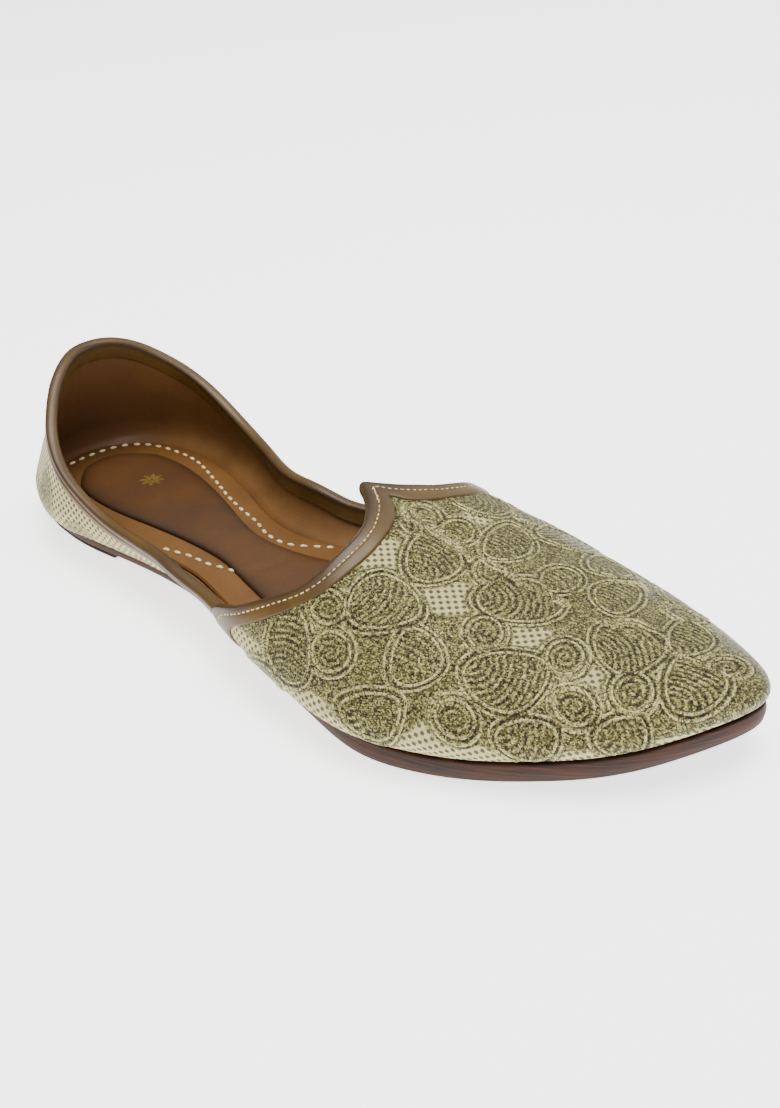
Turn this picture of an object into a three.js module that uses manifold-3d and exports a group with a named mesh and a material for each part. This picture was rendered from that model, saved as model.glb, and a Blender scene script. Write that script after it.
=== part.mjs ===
// A right-foot mojari: a low slip-on shoe with a pointed toe, a peaked throat and a flat
// leather sole. Units are millimetres. +X runs from the heel to the toe, +Y towards the inner
// side of the foot, +Z up. The shoe stands on the plane z = 0, on its heel lift and forefoot.
import * as THREE from 'three';
import { mergeVertices } from 'three/addons/utils/BufferGeometryUtils.js';
import Module from 'manifold-3d';

// ---------------------------------------------------------------- driving dimensions
const LENGTH = 287; // heel to toe, along the sole
const TOE_SPRING = 12; // rise of the sole's toe above the ground
const SPRING_START = 195; // the sole leaves the ground here
const LIFT_HEIGHT = 2; // heel lift, and the rise of the sole's heel
const LIFT_LENGTH = 61; // heel lift, from the back to its breast
const LIFT_INSET = 1.2;
const WAIST_START = 60; // the heel's level ends here
const WAIST_END = 140; // and the forefoot's level starts here
const SOLE_HEEL = 4.8; // outsole thickness at the heel
const SOLE_FORE = 6.2; // outsole thickness in the forefoot
const MIDSOLE_HEIGHT = 0.9;
const MIDSOLE_INSET = 1.6;
const GAP = 0.3; // clearance between pieces
const WALL = 2.4; // vamp: cloth, stiffener and lining together
const QUARTER_WALL = 2.2;
const TUCK = 1.2; // the quarter runs this far inside the vamp's outer face
const QUARTER_END = 158; // the quarter's hidden front ends
const INSOLE_HEIGHT = 1.7;
const INSOLE_INSET = TUCK + QUARTER_WALL + GAP;
const PAD_HEIGHT = 1.6;
const PAD_LENGTH = 150;
const PAD_START = 14;
const PAD_CLEAR = 13; // from the sole's outline to the sock pad
const BINDING = 0.9; // leather thickness of the bindings
const VAMP_FLANGE = 5; // vamp binding, width inside
const TOP_FLANGE_OUT = 4;
const TOP_FLANGE_IN = 6.5;
const TOP_BINDING_END = 140;
const BINDING_FOOT = 0.01; // the vamp binding starts at this turn above the sole

// Outline of the sole. at: fraction of the length. centre: middle line's y.
// spread: half width divided by the sine of the station's angle, which rounds both ends.
const OUTLINE = [
  { at: 0, centre: 0, spread: 62 },
  { at: 0.06, centre: 0, spread: 57 },
  { at: 0.125, centre: 0, spread: 48.5 },
  { at: 0.25, centre: -3, spread: 32 },
  { at: 0.35, centre: -7.5, spread: 23.5 },
  { at: 0.43, centre: -9.5, spread: 26 },
  { at: 0.5, centre: -8.6, spread: 32.4 },
  { at: 0.6, centre: -5.4, spread: 43.4 },
  { at: 0.7, centre: -4, spread: 53.3 },
  { at: 0.78, centre: -1.5, spread: 55.5 },
  { at: 0.86, centre: 3, spread: 55.5 },
  { at: 0.94, centre: 8.5, spread: 53 },
  { at: 1, centre: 17.5, spread: 42.5 },
];

// How far the upper's wall stands out past the sole on each side, and at which height.
const ROLL = [
  { x: 0, outer: 3, inner: 3, height: 9.5 },
  { x: 15, outer: 4.5, inner: 4.5, height: 9.5 },
  { x: 40, outer: 8.5, inner: 6.5, height: 9.5 },
  { x: 70, outer: 9.3, inner: 7, height: 10 },
  { x: 92, outer: 9, inner: 6.8, height: 12 },
  { x: 112, outer: 9, inner: 6.6, height: 16 },
  { x: 130, outer: 9.9, inner: 7.8, height: 18 },
  { x: 145, outer: 10.2, inner: 7.6, height: 17 },
  { x: 160, outer: 10.6, inner: 6.8, height: 13 },
  { x: 180, outer: 9.6, inner: 5.5, height: 10 },
  { x: 200, outer: 7.6, inner: 4.3, height: 9.5 },
  { x: 230, outer: 3.5, inner: 3, height: 9.5 },
  { x: LENGTH, outer: 1.6, inner: 1.6, height: 9.5 },
];

// Quarter: height of the top line above the ground and its lean outwards, on each side.
const TOP_LINE = [
  { x: 0, outer: 57.7, inner: 57.7, outerLean: -13, innerLean: -13 },
  { x: 3, outer: 57.6, inner: 57.8, outerLean: -13.7, innerLean: -12 },
  { x: 8, outer: 57, inner: 58, outerLean: -14, innerLean: -10 },
  { x: 20, outer: 52, inner: 53, outerLean: -7.7, innerLean: -4.5 },
  { x: 32, outer: 44.8, inner: 45.3, outerLean: -1.8, innerLean: -1 },
  { x: 46, outer: 36, inner: 36.5, outerLean: 1.5, innerLean: 0.5 },
  { x: 60, outer: 29, inner: 28.4, outerLean: 2.2, innerLean: 1.5 },
  { x: 75, outer: 24.5, inner: 24.4, outerLean: 2.6, innerLean: 1.5 },
  { x: 92, outer: 23.3, inner: 24.9, outerLean: 3.8, innerLean: 0.5 },
  { x: 112, outer: 22.8, inner: 25.4, outerLean: 3.6, innerLean: 0 },
  { x: 130, outer: 20.3, inner: 21.8, outerLean: 0.8, innerLean: 0 },
  { x: 160, outer: 20, inner: 20.2, outerLean: 0, innerLean: 0 },
];

// Vamp sections. crown: ridge height above the sole, before it falls away towards the toe.
// fullness: exponent of the section's curve. skew: shift of the ridge to the inner side.
const VAMP = [
  { x: 105, crown: 68, fullness: 3.4, skew: 0 },
  { x: 125, crown: 68, fullness: 3.3, skew: 0 },
  { x: 145, crown: 68, fullness: 3.1, skew: 1 },
  { x: 165, crown: 67.5, fullness: 2.9, skew: 3 },
  { x: 190, crown: 64, fullness: 2.5, skew: 4.5 },
  { x: 220, crown: 60, fullness: 2.3, skew: 5 },
  { x: 255, crown: 56.5, fullness: 2.15, skew: 3 },
  { x: LENGTH, crown: 55, fullness: 2.1, skew: 0 },
];

// Throat from the sole up to the ridge, alike on both sides. turn is the angle around the
// vamp's section, edge the opening's own line and band the binding's line on the cloth.
const THROAT = [
  { turn: 0, edge: 143.5, band: 151.5 },
  { turn: 0.08, edge: 142.4, band: 151 },
  { turn: 0.155, edge: 142.3, band: 152.5 },
  { turn: 0.295, edge: 153.4, band: 161.6 },
  { turn: 0.46, edge: 162.4, band: 169.2 },
  { turn: 0.65, edge: 170.3, band: 175.4 },
  { turn: 0.82, edge: 173.8, band: 178.9 },
  { turn: 1.03, edge: 175, band: 180.8 },
  { turn: 1.2, edge: 175, band: 181.2 },
  { turn: 1.34, edge: 173.6, band: 180.1 },
  { turn: 1.43, edge: 171, band: 178.7 },
  { turn: 1.5, edge: 168, band: 176.6 },
  { turn: 1.55, edge: 164, band: 173.6 },
  { turn: Math.PI / 2, edge: 160.7, band: 169.4 },
];

// Levels up the quarter's wall, closer together near the sole where it swells out.
const QUARTER_LEVELS = [0, 0.015, 0.05, 0.12, 0.2, 0.3, 0.42, 0.56, 0.72, 0.87, 1];

const COLOURS = {
  cloth: { color: 0xcdc3a6, roughness: 0.7, metalness: 0.1 },
  binding: { color: 0x8a4f2a, roughness: 0.35, metalness: 0 },
  sole: { color: 0x4a2a1c, roughness: 0.5, metalness: 0 },
  filler: { color: 0x21150f, roughness: 0.8, metalness: 0 },
  lining: { color: 0xa9713f, roughness: 0.5, metalness: 0 },
};

// ---------------------------------------------------------------- small helpers
const { clamp, lerp } = THREE.MathUtils;
const smooth = (a, b, x) => THREE.MathUtils.smoothstep(x, a, b);
const steps = (a, b, n) => Array.from({ length: n + 1 }, (_, i) => lerp(a, b, i / n));

// Smooth curve through one column of a table: cubic pieces whose slopes weigh both neighbours.
function column(table, key, name, value) {
  const last = table.length - 1;
  const at = clamp(value, table[0][key], table[last][key]);
  const span = (k) => table[k + 1][key] - table[k][key];
  const rise = (k) => (table[k + 1][name] - table[k][name]) / span(k);
  const slope = (k) => {
    if (k === 0) return rise(0);
    if (k === last) return rise(last - 1);
    return (rise(k - 1) * span(k) + rise(k) * span(k - 1)) / (span(k) + span(k - 1));
  };
  let i = 0;
  while (i < last - 1 && at > table[i + 1][key]) i += 1;
  const s = (at - table[i][key]) / span(i);
  const values = (2 * s ** 3 - 3 * s ** 2 + 1) * table[i][name]
    + (3 * s ** 2 - 2 * s ** 3) * table[i + 1][name];
  const slopes = (s ** 3 - 2 * s ** 2 + s) * slope(i) + (s ** 3 - s ** 2) * slope(i + 1);
  return values + slopes * span(i);
}

// ---------------------------------------------------------------- the last's own functions
// Stations run by angle: 0 at the back of the heel, a half turn at the toe. Positive angles
// are the inner side of the foot and negative angles the outer side.
const stationX = (angle) => (LENGTH * (1 - Math.cos(angle))) / 2;
const stationAngle = (x) => Math.acos(1 - (2 * clamp(x, 0, LENGTH)) / LENGTH);

function outline(angle) {
  const x = stationX(angle);
  const centre = column(OUTLINE, 'at', 'centre', x / LENGTH);
  const spread = column(OUTLINE, 'at', 'spread', x / LENGTH);
  return new THREE.Vector2(x, centre + spread * Math.sin(angle));
}

// Unit vector in plan, square to the outline and pointing away from the shoe.
function outward(angle) {
  const tiny = 1e-3;
  const along = outline(angle + tiny).sub(outline(angle - tiny)).normalize();
  return new THREE.Vector3(-along.y, along.x, 0);
}

// Heights of the layers: underside of the sole, its top, and the line where the upper starts.
function soleBottom(x) {
  const heel = LIFT_HEIGHT * (1 - smooth(WAIST_START, WAIST_END, x));
  const toe = Math.max(0, (x - SPRING_START) / (LENGTH - SPRING_START));
  return heel + TOE_SPRING * toe ** 2;
}
const soleTop = (x) => soleBottom(x) + lerp(SOLE_HEEL, SOLE_FORE, smooth(WAIST_START, 150, x));
const featherHeight = (x) => soleTop(x) + MIDSOLE_HEIGHT + 2 * GAP;

// Mix of a table's two sides. side runs from 0, outer side of the foot, to 1, inner side.
function sided(table, names, x, side) {
  return lerp(column(table, 'x', names[0], x), column(table, 'x', names[1], x), side);
}

// The wall swells out just above the sole and comes back in higher up.
function roll(x, side, height) {
  const share = height / column(ROLL, 'x', 'height', x);
  return sided(ROLL, ['outer', 'inner'], x, side) * share * Math.exp(1 - share);
}

// Outer face of the quarter: angle around the heel, level from 0, sole, to 1, top line. The
// foot of the hidden front ends is held a little above the sole.
function quarterFace(angle, level) {
  const foot = outline(angle);
  const side = 0.5 + 0.5 * Math.tanh(4 * Math.sin(angle));
  const start = featherHeight(foot.x);
  const share = lerp(0.04 * smooth(149, 155, foot.x), 1, level);
  const height = share * (sided(TOP_LINE, ['outer', 'inner'], foot.x, side) - start);
  const lean = share * sided(TOP_LINE, ['outerLean', 'innerLean'], foot.x, side);
  const away = roll(foot.x, side, height) + lean - TUCK * smooth(108, 136, foot.x);
  return new THREE.Vector3(foot.x, foot.y, start + height).addScaledVector(outward(angle), away);
}

// Outer face of the vamp: x along the shoe, turn from 0, outer side's foot, over the ridge at
// a quarter turn, to a half turn at the inner side's foot.
function vampFace(x, turn) {
  const angle = stationAngle(x);
  const half = column(OUTLINE, 'at', 'spread', x / LENGTH) * Math.sin(angle);
  const centre = column(OUTLINE, 'at', 'centre', x / LENGTH);
  const power = 2 / column(VAMP, 'x', 'fullness', x);
  const across = -Math.sign(Math.cos(turn)) * Math.abs(Math.cos(turn)) ** power;
  const rise = Math.abs(Math.sin(turn)) ** power;
  const height = column(VAMP, 'x', 'crown', x) * Math.sqrt(Math.max(0, 1 - x / LENGTH)) * rise;
  const side = 0.5 + 0.25 * across * (3 - across ** 2);
  const y = centre + half * across + column(VAMP, 'x', 'skew', x) * rise;
  const spot = new THREE.Vector3(x, y, featherHeight(x) + height);
  return spot.addScaledVector(outward(-angle).lerp(outward(angle), side), roll(x, side, height));
}

// Position along the shoe of the throat's edge, or of its band, at a turn of the section.
const throat = (name, turn) => column(THROAT, 'turn', name, Math.min(turn, Math.PI - turn));

// ---------------------------------------------------------------- closed meshes from grids
// Geometry with shared vertices, no collapsed triangles and its faces pointing outwards.
function closedGeometry(points, triangles) {
  const loose = new THREE.BufferGeometry().setFromPoints(points);
  loose.setIndex(triangles.flat());
  const merged = mergeVertices(loose, 1e-4);
  const index = Array.from(merged.index.array);
  const spots = merged.attributes.position;
  const kept = [];
  let volume = 0;
  for (let k = 0; k < index.length; k += 3) {
    const corners = index.slice(k, k + 3);
    if (new Set(corners).size === 3) {
      const [p, q, r] = corners.map((v) => new THREE.Vector3().fromBufferAttribute(spots, v));
      volume += p.dot(q.cross(r));
      kept.push(corners);
    }
  }
  merged.setIndex(kept.flatMap(([a, b, c]) => (volume < 0 ? [a, c, b] : [a, b, c])));
  return merged;
}

// Two grids of the same size joined along their four borders into one closed mesh.
function shell(front, back) {
  const rows = front.length;
  const cols = front[0].length;
  const id = (side, i, j) => side * rows * cols + i * cols + j;
  const triangles = [];
  const quad = (a, b, c, d) => triangles.push([a, b, c], [a, c, d]);
  for (let i = 0; i < rows - 1; i += 1) {
    for (let j = 0; j < cols - 1; j += 1) {
      quad(id(0, i, j), id(0, i + 1, j), id(0, i + 1, j + 1), id(0, i, j + 1));
      quad(id(1, i, j), id(1, i, j + 1), id(1, i + 1, j + 1), id(1, i + 1, j));
    }
    const end = cols - 1;
    quad(id(0, i, 0), id(1, i, 0), id(1, i + 1, 0), id(0, i + 1, 0));
    quad(id(0, i, end), id(0, i + 1, end), id(1, i + 1, end), id(1, i, end));
  }
  for (let j = 0; j < cols - 1; j += 1) {
    const end = rows - 1;
    quad(id(0, 0, j), id(0, 0, j + 1), id(1, 0, j + 1), id(1, 0, j));
    quad(id(0, end, j), id(1, end, j), id(1, end, j + 1), id(0, end, j + 1));
  }
  return closedGeometry([...front.flat(), ...back.flat()], triangles);
}

// A grid moved square to its own surface. hold gives the direction where the grid's own
// neighbours can't: on the sole, and where a whole column is one point.
function moved(sheet, distance, hold = () => null) {
  const pick = (list, k) => list[clamp(k, 0, list.length - 1)];
  const toward = (a, b) => b.clone().sub(a).normalize();
  return sheet.map((row, i) => row.map((spot, j) => {
    const across = toward(pick(sheet, i - 1)[j], spot).add(toward(spot, pick(sheet, i + 1)[j]));
    const along = toward(pick(row, j - 1), spot).add(toward(spot, pick(row, j + 1)));
    const square = hold(i, j) ?? along.cross(across).normalize();
    return spot.clone().addScaledVector(square, distance);
  }));
}

// A strip folded over the edge of a wall. Both sheets lie on the wall's outer face and their
// rows start on the edge.
function folded(outside, inside, wall) {
  const chain = (lift) => {
    const back = moved(inside, -wall - lift);
    return moved(outside, lift).map((row, i) => {
      const edge = outside[i][0];
      const before = outside[Math.max(i - 1, 0)][0];
      const after = outside[Math.min(i + 1, outside.length - 1)][0];
      const square = row[0].clone().sub(edge).normalize();
      const beyond = after.clone().sub(before).cross(square).normalize();
      if (beyond.dot(edge.clone().sub(outside[i][1])) < 0) beyond.negate();
      const corner = (depth) => edge.clone().addScaledVector(square, depth)
        .addScaledVector(beyond, 0.8 * lift);
      return [...row.reverse(), corner(0.7 * lift), corner(-wall - 0.7 * lift), ...back[i]];
    });
  };
  return shell(chain(GAP + BINDING), chain(GAP));
}

// ---------------------------------------------------------------- booleans
const wasm = await Module();
wasm.setup();

function toManifold(geometry) {
  const vertProperties = new Float32Array(geometry.attributes.position.array);
  const triVerts = new Uint32Array(geometry.index.array);
  return new wasm.Manifold(new wasm.Mesh({ numProp: 3, vertProperties, triVerts }));
}

function toGeometry(manifold) {
  const { vertProperties, triVerts } = manifold.getMesh();
  const geometry = new THREE.BufferGeometry();
  geometry.setAttribute('position', new THREE.BufferAttribute(vertProperties, 3));
  geometry.setIndex(Array.from(triVerts));
  return geometry;
}

const largest = (solid) => solid.decompose().sort((a, b) => b.volume() - a.volume())[0];

// ---------------------------------------------------------------- flat layers
// A layer of the sole between two height functions, held inside the outline by an inset.
function layer({ inset, to, bottom, top, count }) {
  const edge = (angle) => {
    const spot = outline(angle);
    return new THREE.Vector3(spot.x, spot.y, 0).addScaledVector(outward(angle), -inset);
  };
  const grid = (height) => steps(0, stationAngle(to), count).map((angle) => {
    const row = steps(0, 1, 2).map((s) => edge(-angle).lerp(edge(angle), s));
    row.forEach((spot) => spot.setZ(height(spot.x)));
    return row;
  });
  return shell(grid(top), grid(bottom));
}

const heelLift = () => layer({
  inset: LIFT_INSET, to: LIFT_LENGTH, bottom: () => 0, top: () => LIFT_HEIGHT - GAP, count: 18,
});

const outsole = () => layer({
  inset: 0, to: LENGTH, bottom: soleBottom, top: soleTop, count: 56,
});

const midsole = () => layer({
  inset: MIDSOLE_INSET,
  to: LENGTH,
  bottom: (x) => soleTop(x) + GAP,
  top: (x) => soleTop(x) + GAP + MIDSOLE_HEIGHT,
  count: 46,
});

const insole = () => layer({
  inset: INSOLE_INSET,
  to: LENGTH,
  bottom: featherHeight,
  top: (x) => featherHeight(x) + INSOLE_HEIGHT,
  count: 46,
});

// Sock pad: its own rounded outline, from the heel to the forefoot, inside the stitch row.
function sockPad() {
  const grid = (lift) => steps(0, Math.PI, 36).map((angle) => {
    const x = PAD_START + ((PAD_LENGTH - PAD_START) * (1 - Math.cos(angle))) / 2;
    const side = (sign) => outline(sign * stationAngle(x)).y - sign * PAD_CLEAR;
    const half = ((side(1) - side(-1)) / 2) * Math.min(1, 1.7 * Math.sin(angle)) ** 0.6;
    const z = featherHeight(x) + INSOLE_HEIGHT + GAP + lift;
    const middle = (side(1) + side(-1)) / 2;
    return steps(-1, 1, 2).map((s) => new THREE.Vector3(x, middle + s * half, z));
  });
  return shell(grid(PAD_HEIGHT), grid(0));
}

// ---------------------------------------------------------------- upper and its bindings
// Turns around the vamp's section, closer together near the sole and near the ridge.
function vampTurns(count) {
  const half = steps(0, 1, count).map((s) => (Math.PI / 2) * (s ** 3 / (s ** 3 + (1 - s) ** 1.5)));
  return [...half, ...half.slice(0, -1).reverse().map((turn) => Math.PI - turn)];
}
const VAMP_TURNS = vampTurns(22);

// Rows around the vamp's outer face, each from one position along the shoe to another.
function vampSheet(turns, from, to, count) {
  return turns.map((turn) => {
    const angles = steps(stationAngle(from(turn)), stationAngle(to(turn)), count);
    return angles.map((angle) => vampFace(stationX(angle), turn));
  });
}

function vampWall(grow) {
  const from = (turn) => throat('edge', turn) - grow;
  const sheet = vampSheet(VAMP_TURNS, from, () => LENGTH, 22);
  const last = VAMP_TURNS.length - 1;
  const hold = (i, j) => {
    if (j === 22) return outward(Math.PI);
    if (i > 0 && i < last) return null;
    const angle = stationAngle(sheet[i][j].x);
    return outward(i === 0 ? -angle : angle);
  };
  return toManifold(shell(moved(sheet, grow, hold), moved(sheet, -WALL - grow, hold)));
}

// Rows around the heel, each up the quarter's outer face between two levels.
function quarterSheet(end, levels, count) {
  const angles = steps(-stationAngle(end), stationAngle(end), count);
  return angles.map((angle) => levels(angle).map((level) => quarterFace(angle, level)));
}

function quarterWall(grow) {
  const levels = QUARTER_LEVELS.map((level) => level * (1 + grow / 12));
  const count = 52;
  const sheet = quarterSheet(QUARTER_END + grow, () => levels, count);
  const angles = steps(-stationAngle(QUARTER_END + grow), stationAngle(QUARTER_END + grow), count);
  const hold = (i, j) => (j === 0 ? outward(angles[i]) : null);
  return toManifold(shell(moved(sheet, grow, hold), moved(sheet, -QUARTER_WALL - grow, hold)));
}

const upper = () => toGeometry(vampWall(0).add(quarterWall(0)));

// Binding of the throat, folded over the vamp's edge and cut clear of the quarter.
function vampBinding() {
  const turns = VAMP_TURNS.filter((turn) => Math.min(turn, Math.PI - turn) > BINDING_FOOT);
  const edge = (turn) => throat('edge', turn);
  const outside = vampSheet(turns, edge, (turn) => throat('band', turn), 2);
  const inside = vampSheet(turns, edge, (turn) => edge(turn) + VAMP_FLANGE, 2);
  const strip = toManifold(folded(outside, inside, WALL));
  return toGeometry(largest(strip.subtract(quarterWall(GAP)).subtract(vampWall(GAP / 2))));
}

// Binding of the top line, folded over the quarter's edge.
function toplineBinding() {
  const below = (angle, distance) => {
    const height = quarterFace(angle, 1).z - featherHeight(stationX(angle));
    return 1 - distance / height;
  };
  const sheet = (flange) => quarterSheet(
    TOP_BINDING_END,
    (angle) => steps(0, flange, 2).map((distance) => below(angle, distance)),
    44,
  ).reverse();
  return folded(sheet(TOP_FLANGE_OUT), sheet(TOP_FLANGE_IN), QUARTER_WALL);
}

// ---------------------------------------------------------------- assembly
const PIECES = [
  { name: 'heel_lift', make: heelLift, finish: COLOURS.sole },
  { name: 'outsole', make: outsole, finish: COLOURS.sole },
  { name: 'midsole', make: midsole, finish: COLOURS.filler },
  { name: 'insole', make: insole, finish: COLOURS.lining },
  { name: 'sock_pad', make: sockPad, finish: COLOURS.lining },
  { name: 'upper', make: upper, finish: COLOURS.cloth },
  { name: 'vamp_binding', make: vampBinding, finish: COLOURS.binding },
  { name: 'topline_binding', make: toplineBinding, finish: COLOURS.binding },
];

const meshes = PIECES.map(({ name, make, finish }) => {
  const mesh = new THREE.Mesh(make(), new THREE.MeshStandardMaterial(finish));
  mesh.name = name;
  return mesh;
});

// The origin is under the middle of the whole shoe's box.
const box = new THREE.Box3();
meshes.forEach((mesh) => box.expandByObject(mesh, true));
const middle = box.getCenter(new THREE.Vector3());
meshes.forEach((mesh) => mesh.geometry.translate(-middle.x, -middle.y, 0));

const shoe = new THREE.Group();
shoe.name = 'mojari';
shoe.add(...meshes);
export default shoe;
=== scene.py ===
"""A mojari: a slip-on shoe with an embroidered vamp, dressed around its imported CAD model.

Sizes are in millimetres, measured from the back of the heel along the shoe: x runs to the toe, y
to the inner side of the foot and z up. Each finished mesh is placed in the frame's metres by the
outsole's own corner.
"""
import logging
from dataclasses import dataclass, field
from enum import Enum
from typing import Callable, Optional

import bmesh
import bpy
import numpy as np
from mathutils import Matrix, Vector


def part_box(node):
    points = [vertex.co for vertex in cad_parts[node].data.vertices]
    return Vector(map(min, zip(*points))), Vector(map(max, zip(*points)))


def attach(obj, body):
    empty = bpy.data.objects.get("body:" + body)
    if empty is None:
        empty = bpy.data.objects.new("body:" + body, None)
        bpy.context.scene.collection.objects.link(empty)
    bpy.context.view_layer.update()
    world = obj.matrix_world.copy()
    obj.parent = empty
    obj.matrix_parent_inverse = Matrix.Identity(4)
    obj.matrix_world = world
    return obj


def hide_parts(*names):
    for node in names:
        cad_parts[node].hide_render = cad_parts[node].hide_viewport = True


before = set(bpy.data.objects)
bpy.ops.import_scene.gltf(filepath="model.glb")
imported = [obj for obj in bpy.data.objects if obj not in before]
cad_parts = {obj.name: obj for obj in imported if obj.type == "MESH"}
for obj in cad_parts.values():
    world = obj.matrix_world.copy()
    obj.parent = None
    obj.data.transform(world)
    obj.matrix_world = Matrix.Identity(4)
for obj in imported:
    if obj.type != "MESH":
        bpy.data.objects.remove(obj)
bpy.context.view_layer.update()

Array = np.ndarray
Rows = tuple[tuple[float, ...], ...]
Colour = tuple[float, float, float]
Socket = bpy.types.NodeSocket
MM = 0.001
CHART_UNIT = 0.01  # chart units in a millimetre: one unit is 100 mm
ROW_PITCH = 1.75  # mm between the rows that fill an embroidered figure
TAPER = 0.35  # how much a hooked figure narrows towards its tip
FAN = (-0.95, 0.75)  # where a body's rows fan out from, in its own half sizes
log = logging.getLogger("mojari")


class Slot(Enum):
    """The record's material slots."""

    SOLE = "sole_leather"
    FILLER = "filler"
    INSOLE = "insole_leather"
    SOCK = "sock_leather"
    BROCADE = "brocade"
    BINDING = "binding_leather"
    LINING = "lining_leather"
    CORD = "embroidery_thread"
    STITCH = "stitch_thread"


class Figure(Enum):
    """Kinds of embroidered figure."""

    BODY = "closed rows inside a double outline"
    CURL = "one row wound into a spiral"
    GROUND = "a window of plain dotted cloth"


# ---------------------------------------------------------------- small helpers
def smooth(start: float, end: float, at: Array) -> Array:
    """Smooth step from 0 at start to 1 at end: 3s^2 - 2s^3 of the clipped share s."""
    share = np.clip((np.asarray(at, float) - start) / (end - start), 0, 1)
    return share * share * (3 - 2 * share)


def curve(rows: Rows, at: Array, column: int) -> Array:
    """Smooth curve through one column of a table.

    Between two rows it is the cubic with the rows' values and slopes, and a row's slope is the
    mean of its two neighbours' slopes, each weighted by the other's width.

    Args:
        rows: the table, with the position in column 0.
        at: positions to read.
        column: the column to read.

    Returns:
        The values, in the shape of at.
    """
    table = np.asarray(rows, float)
    x, y = table[:, 0], table[:, column]
    width, rise = np.diff(x), np.diff(y) / np.diff(x)
    slope = np.concatenate([rise[:1], np.zeros(len(x) - 2), rise[-1:]])
    slope[1:-1] = (rise[:-1] * width[:-1] + rise[1:] * width[1:]) / (width[:-1] + width[1:])
    at = np.clip(np.asarray(at, float), x[0], x[-1])
    i = np.clip(np.searchsorted(x, at, side="right") - 1, 0, len(x) - 2)
    s = (at - x[i]) / width[i]
    ends = (2 * s**3 - 3 * s**2 + 1) * y[i] + (3 * s**2 - 2 * s**3) * y[i + 1]
    return ends + ((s**3 - 2 * s**2 + s) * slope[i] + (s**3 - s**2) * slope[i + 1]) * width[i]


def unit(vectors: Array) -> Array:
    """Vectors scaled to length 1 along the last axis."""
    return vectors / np.maximum(np.linalg.norm(vectors, axis=-1, keepdims=True), 1e-9)


def square_to(sheet: Array) -> Array:
    """Unit normals of a grid of points: the cross product of its two central differences."""
    return unit(np.cross(np.gradient(sheet, axis=0), np.gradient(sheet, axis=1)))


def tint(red: float, green: float, blue: float) -> Colour:
    """Linear colour from the 0 to 255 values of a swatch.

    Args:
        red: red of the swatch.
        green: green of the swatch.
        blue: blue of the swatch.

    Returns:
        The three linear values.
    """
    value = np.array([red, green, blue]) / 255
    linear = np.where(value <= 0.04045, value / 12.92, ((value + 0.055) / 1.055) ** 2.4)
    return tuple(float(v) for v in linear)


@dataclass
class Surface:
    """A mesh in the making: points and faces, with values and a chart place for each point."""

    points: Array
    faces: list
    values: dict[str, Array] = field(default_factory=dict)
    chart: Optional[Array] = None


def grid_ids(rows: int, cols: int, start: int = 0) -> Array:
    """Point numbers of a grid, as a grid."""
    return start + np.arange(rows * cols).reshape(rows, cols)


def quads(ids: Array) -> Array:
    """The quads of a grid of point numbers."""
    corners = (ids[:-1, :-1], ids[1:, :-1], ids[1:, 1:], ids[:-1, 1:])
    return np.stack(corners, -1).reshape(-1, 4)


def rim(ids: Array) -> Array:
    """The point numbers once around a grid's four borders."""
    return np.concatenate([ids[0, :-1], ids[:-1, -1], ids[-1, :0:-1], ids[:0:-1, 0]])


def shell(front: Array, back: Array) -> Surface:
    """Two sheets joined along their borders into one closed wall.

    The back may be coarser by a whole number k: each of its border edges then meets k edges of
    the front through a fan of triangles.

    Args:
        front: (rows, cols, 3) grid of the outer face.
        back: (rows, cols, 3) grid of the inner face, running the same way.

    Returns:
        The closed surface; the front's points come first.
    """
    fine = grid_ids(*front.shape[:2])
    coarse = grid_ids(*back.shape[:2], start=fine.size)
    near, far = rim(fine), rim(coarse)
    k = len(near) // len(far)
    half = (k + 1) // 2
    edge = np.arange(len(near))
    apex = far[((edge + k - half) // k) % len(far)]
    fans = np.stack([near, np.roll(near, -1), apex], -1)
    block = np.arange(len(far))
    caps = np.stack([far, np.roll(far, -1), near[(block * k + half) % len(near)]], -1)
    faces = [*quads(fine).tolist(), *quads(coarse).tolist(), *fans.tolist(), *caps.tolist()]
    return Surface(np.concatenate([front.reshape(-1, 3), back.reshape(-1, 3)]), faces)


def beads(places: Array, along: Array, up: Array, size: tuple[float, float, float]) -> Surface:
    """Small ellipsoids, one at each place, all with the same few faces.

    Args:
        places: (n, 3) centres.
        along: (n, 3) directions of their long axis.
        up: (n, 3) directions away from the surface.
        size: full length, width and height in mm.

    Returns:
        All of them as one surface.
    """
    around, over = np.meshgrid(np.linspace(0, 2 * np.pi, 9), np.linspace(0, np.pi, 6),
                               indexing="ij")
    ball = np.stack([np.cos(over), np.sin(over) * np.cos(around),
                     np.sin(over) * np.sin(around)], -1)
    rows, cols = around.shape
    ball = ball.reshape(-1, 3) * np.array(size) / 2
    along, up = unit(along), unit(up)
    axes = np.stack([along, unit(np.cross(up, along)), up], 1)
    points = places[:, None, :] + np.einsum("pk,nkc->npc", ball, axes)
    one = quads(grid_ids(rows, cols))
    faces = one[None] + (np.arange(len(places)) * len(ball))[:, None, None]
    return Surface(points.reshape(-1, 3), faces.reshape(-1, 4).tolist())


def bell(at: Array, width: float) -> Array:
    """Bell curve, 1 at 0: exp(-(at / width)^2)."""
    return np.exp(-((at / width) ** 2))


def ridges(phase: Array, pitch: float) -> Array:
    """Rows of ridges, from 0 in a groove to 1 on a crest: (1 - cos(2 pi phase / pitch)) / 2."""
    return 0.5 - 0.5 * np.cos(2 * np.pi * phase / pitch)


def arcs(sheet: Array, axis: int) -> Array:
    """Arc length along one axis of a grid of points, 0 at its start."""
    steps = np.linalg.norm(np.diff(sheet, axis=axis), axis=-1)
    return np.concatenate([np.zeros_like(steps.take([0], axis)), np.cumsum(steps, axis)], axis)


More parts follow.
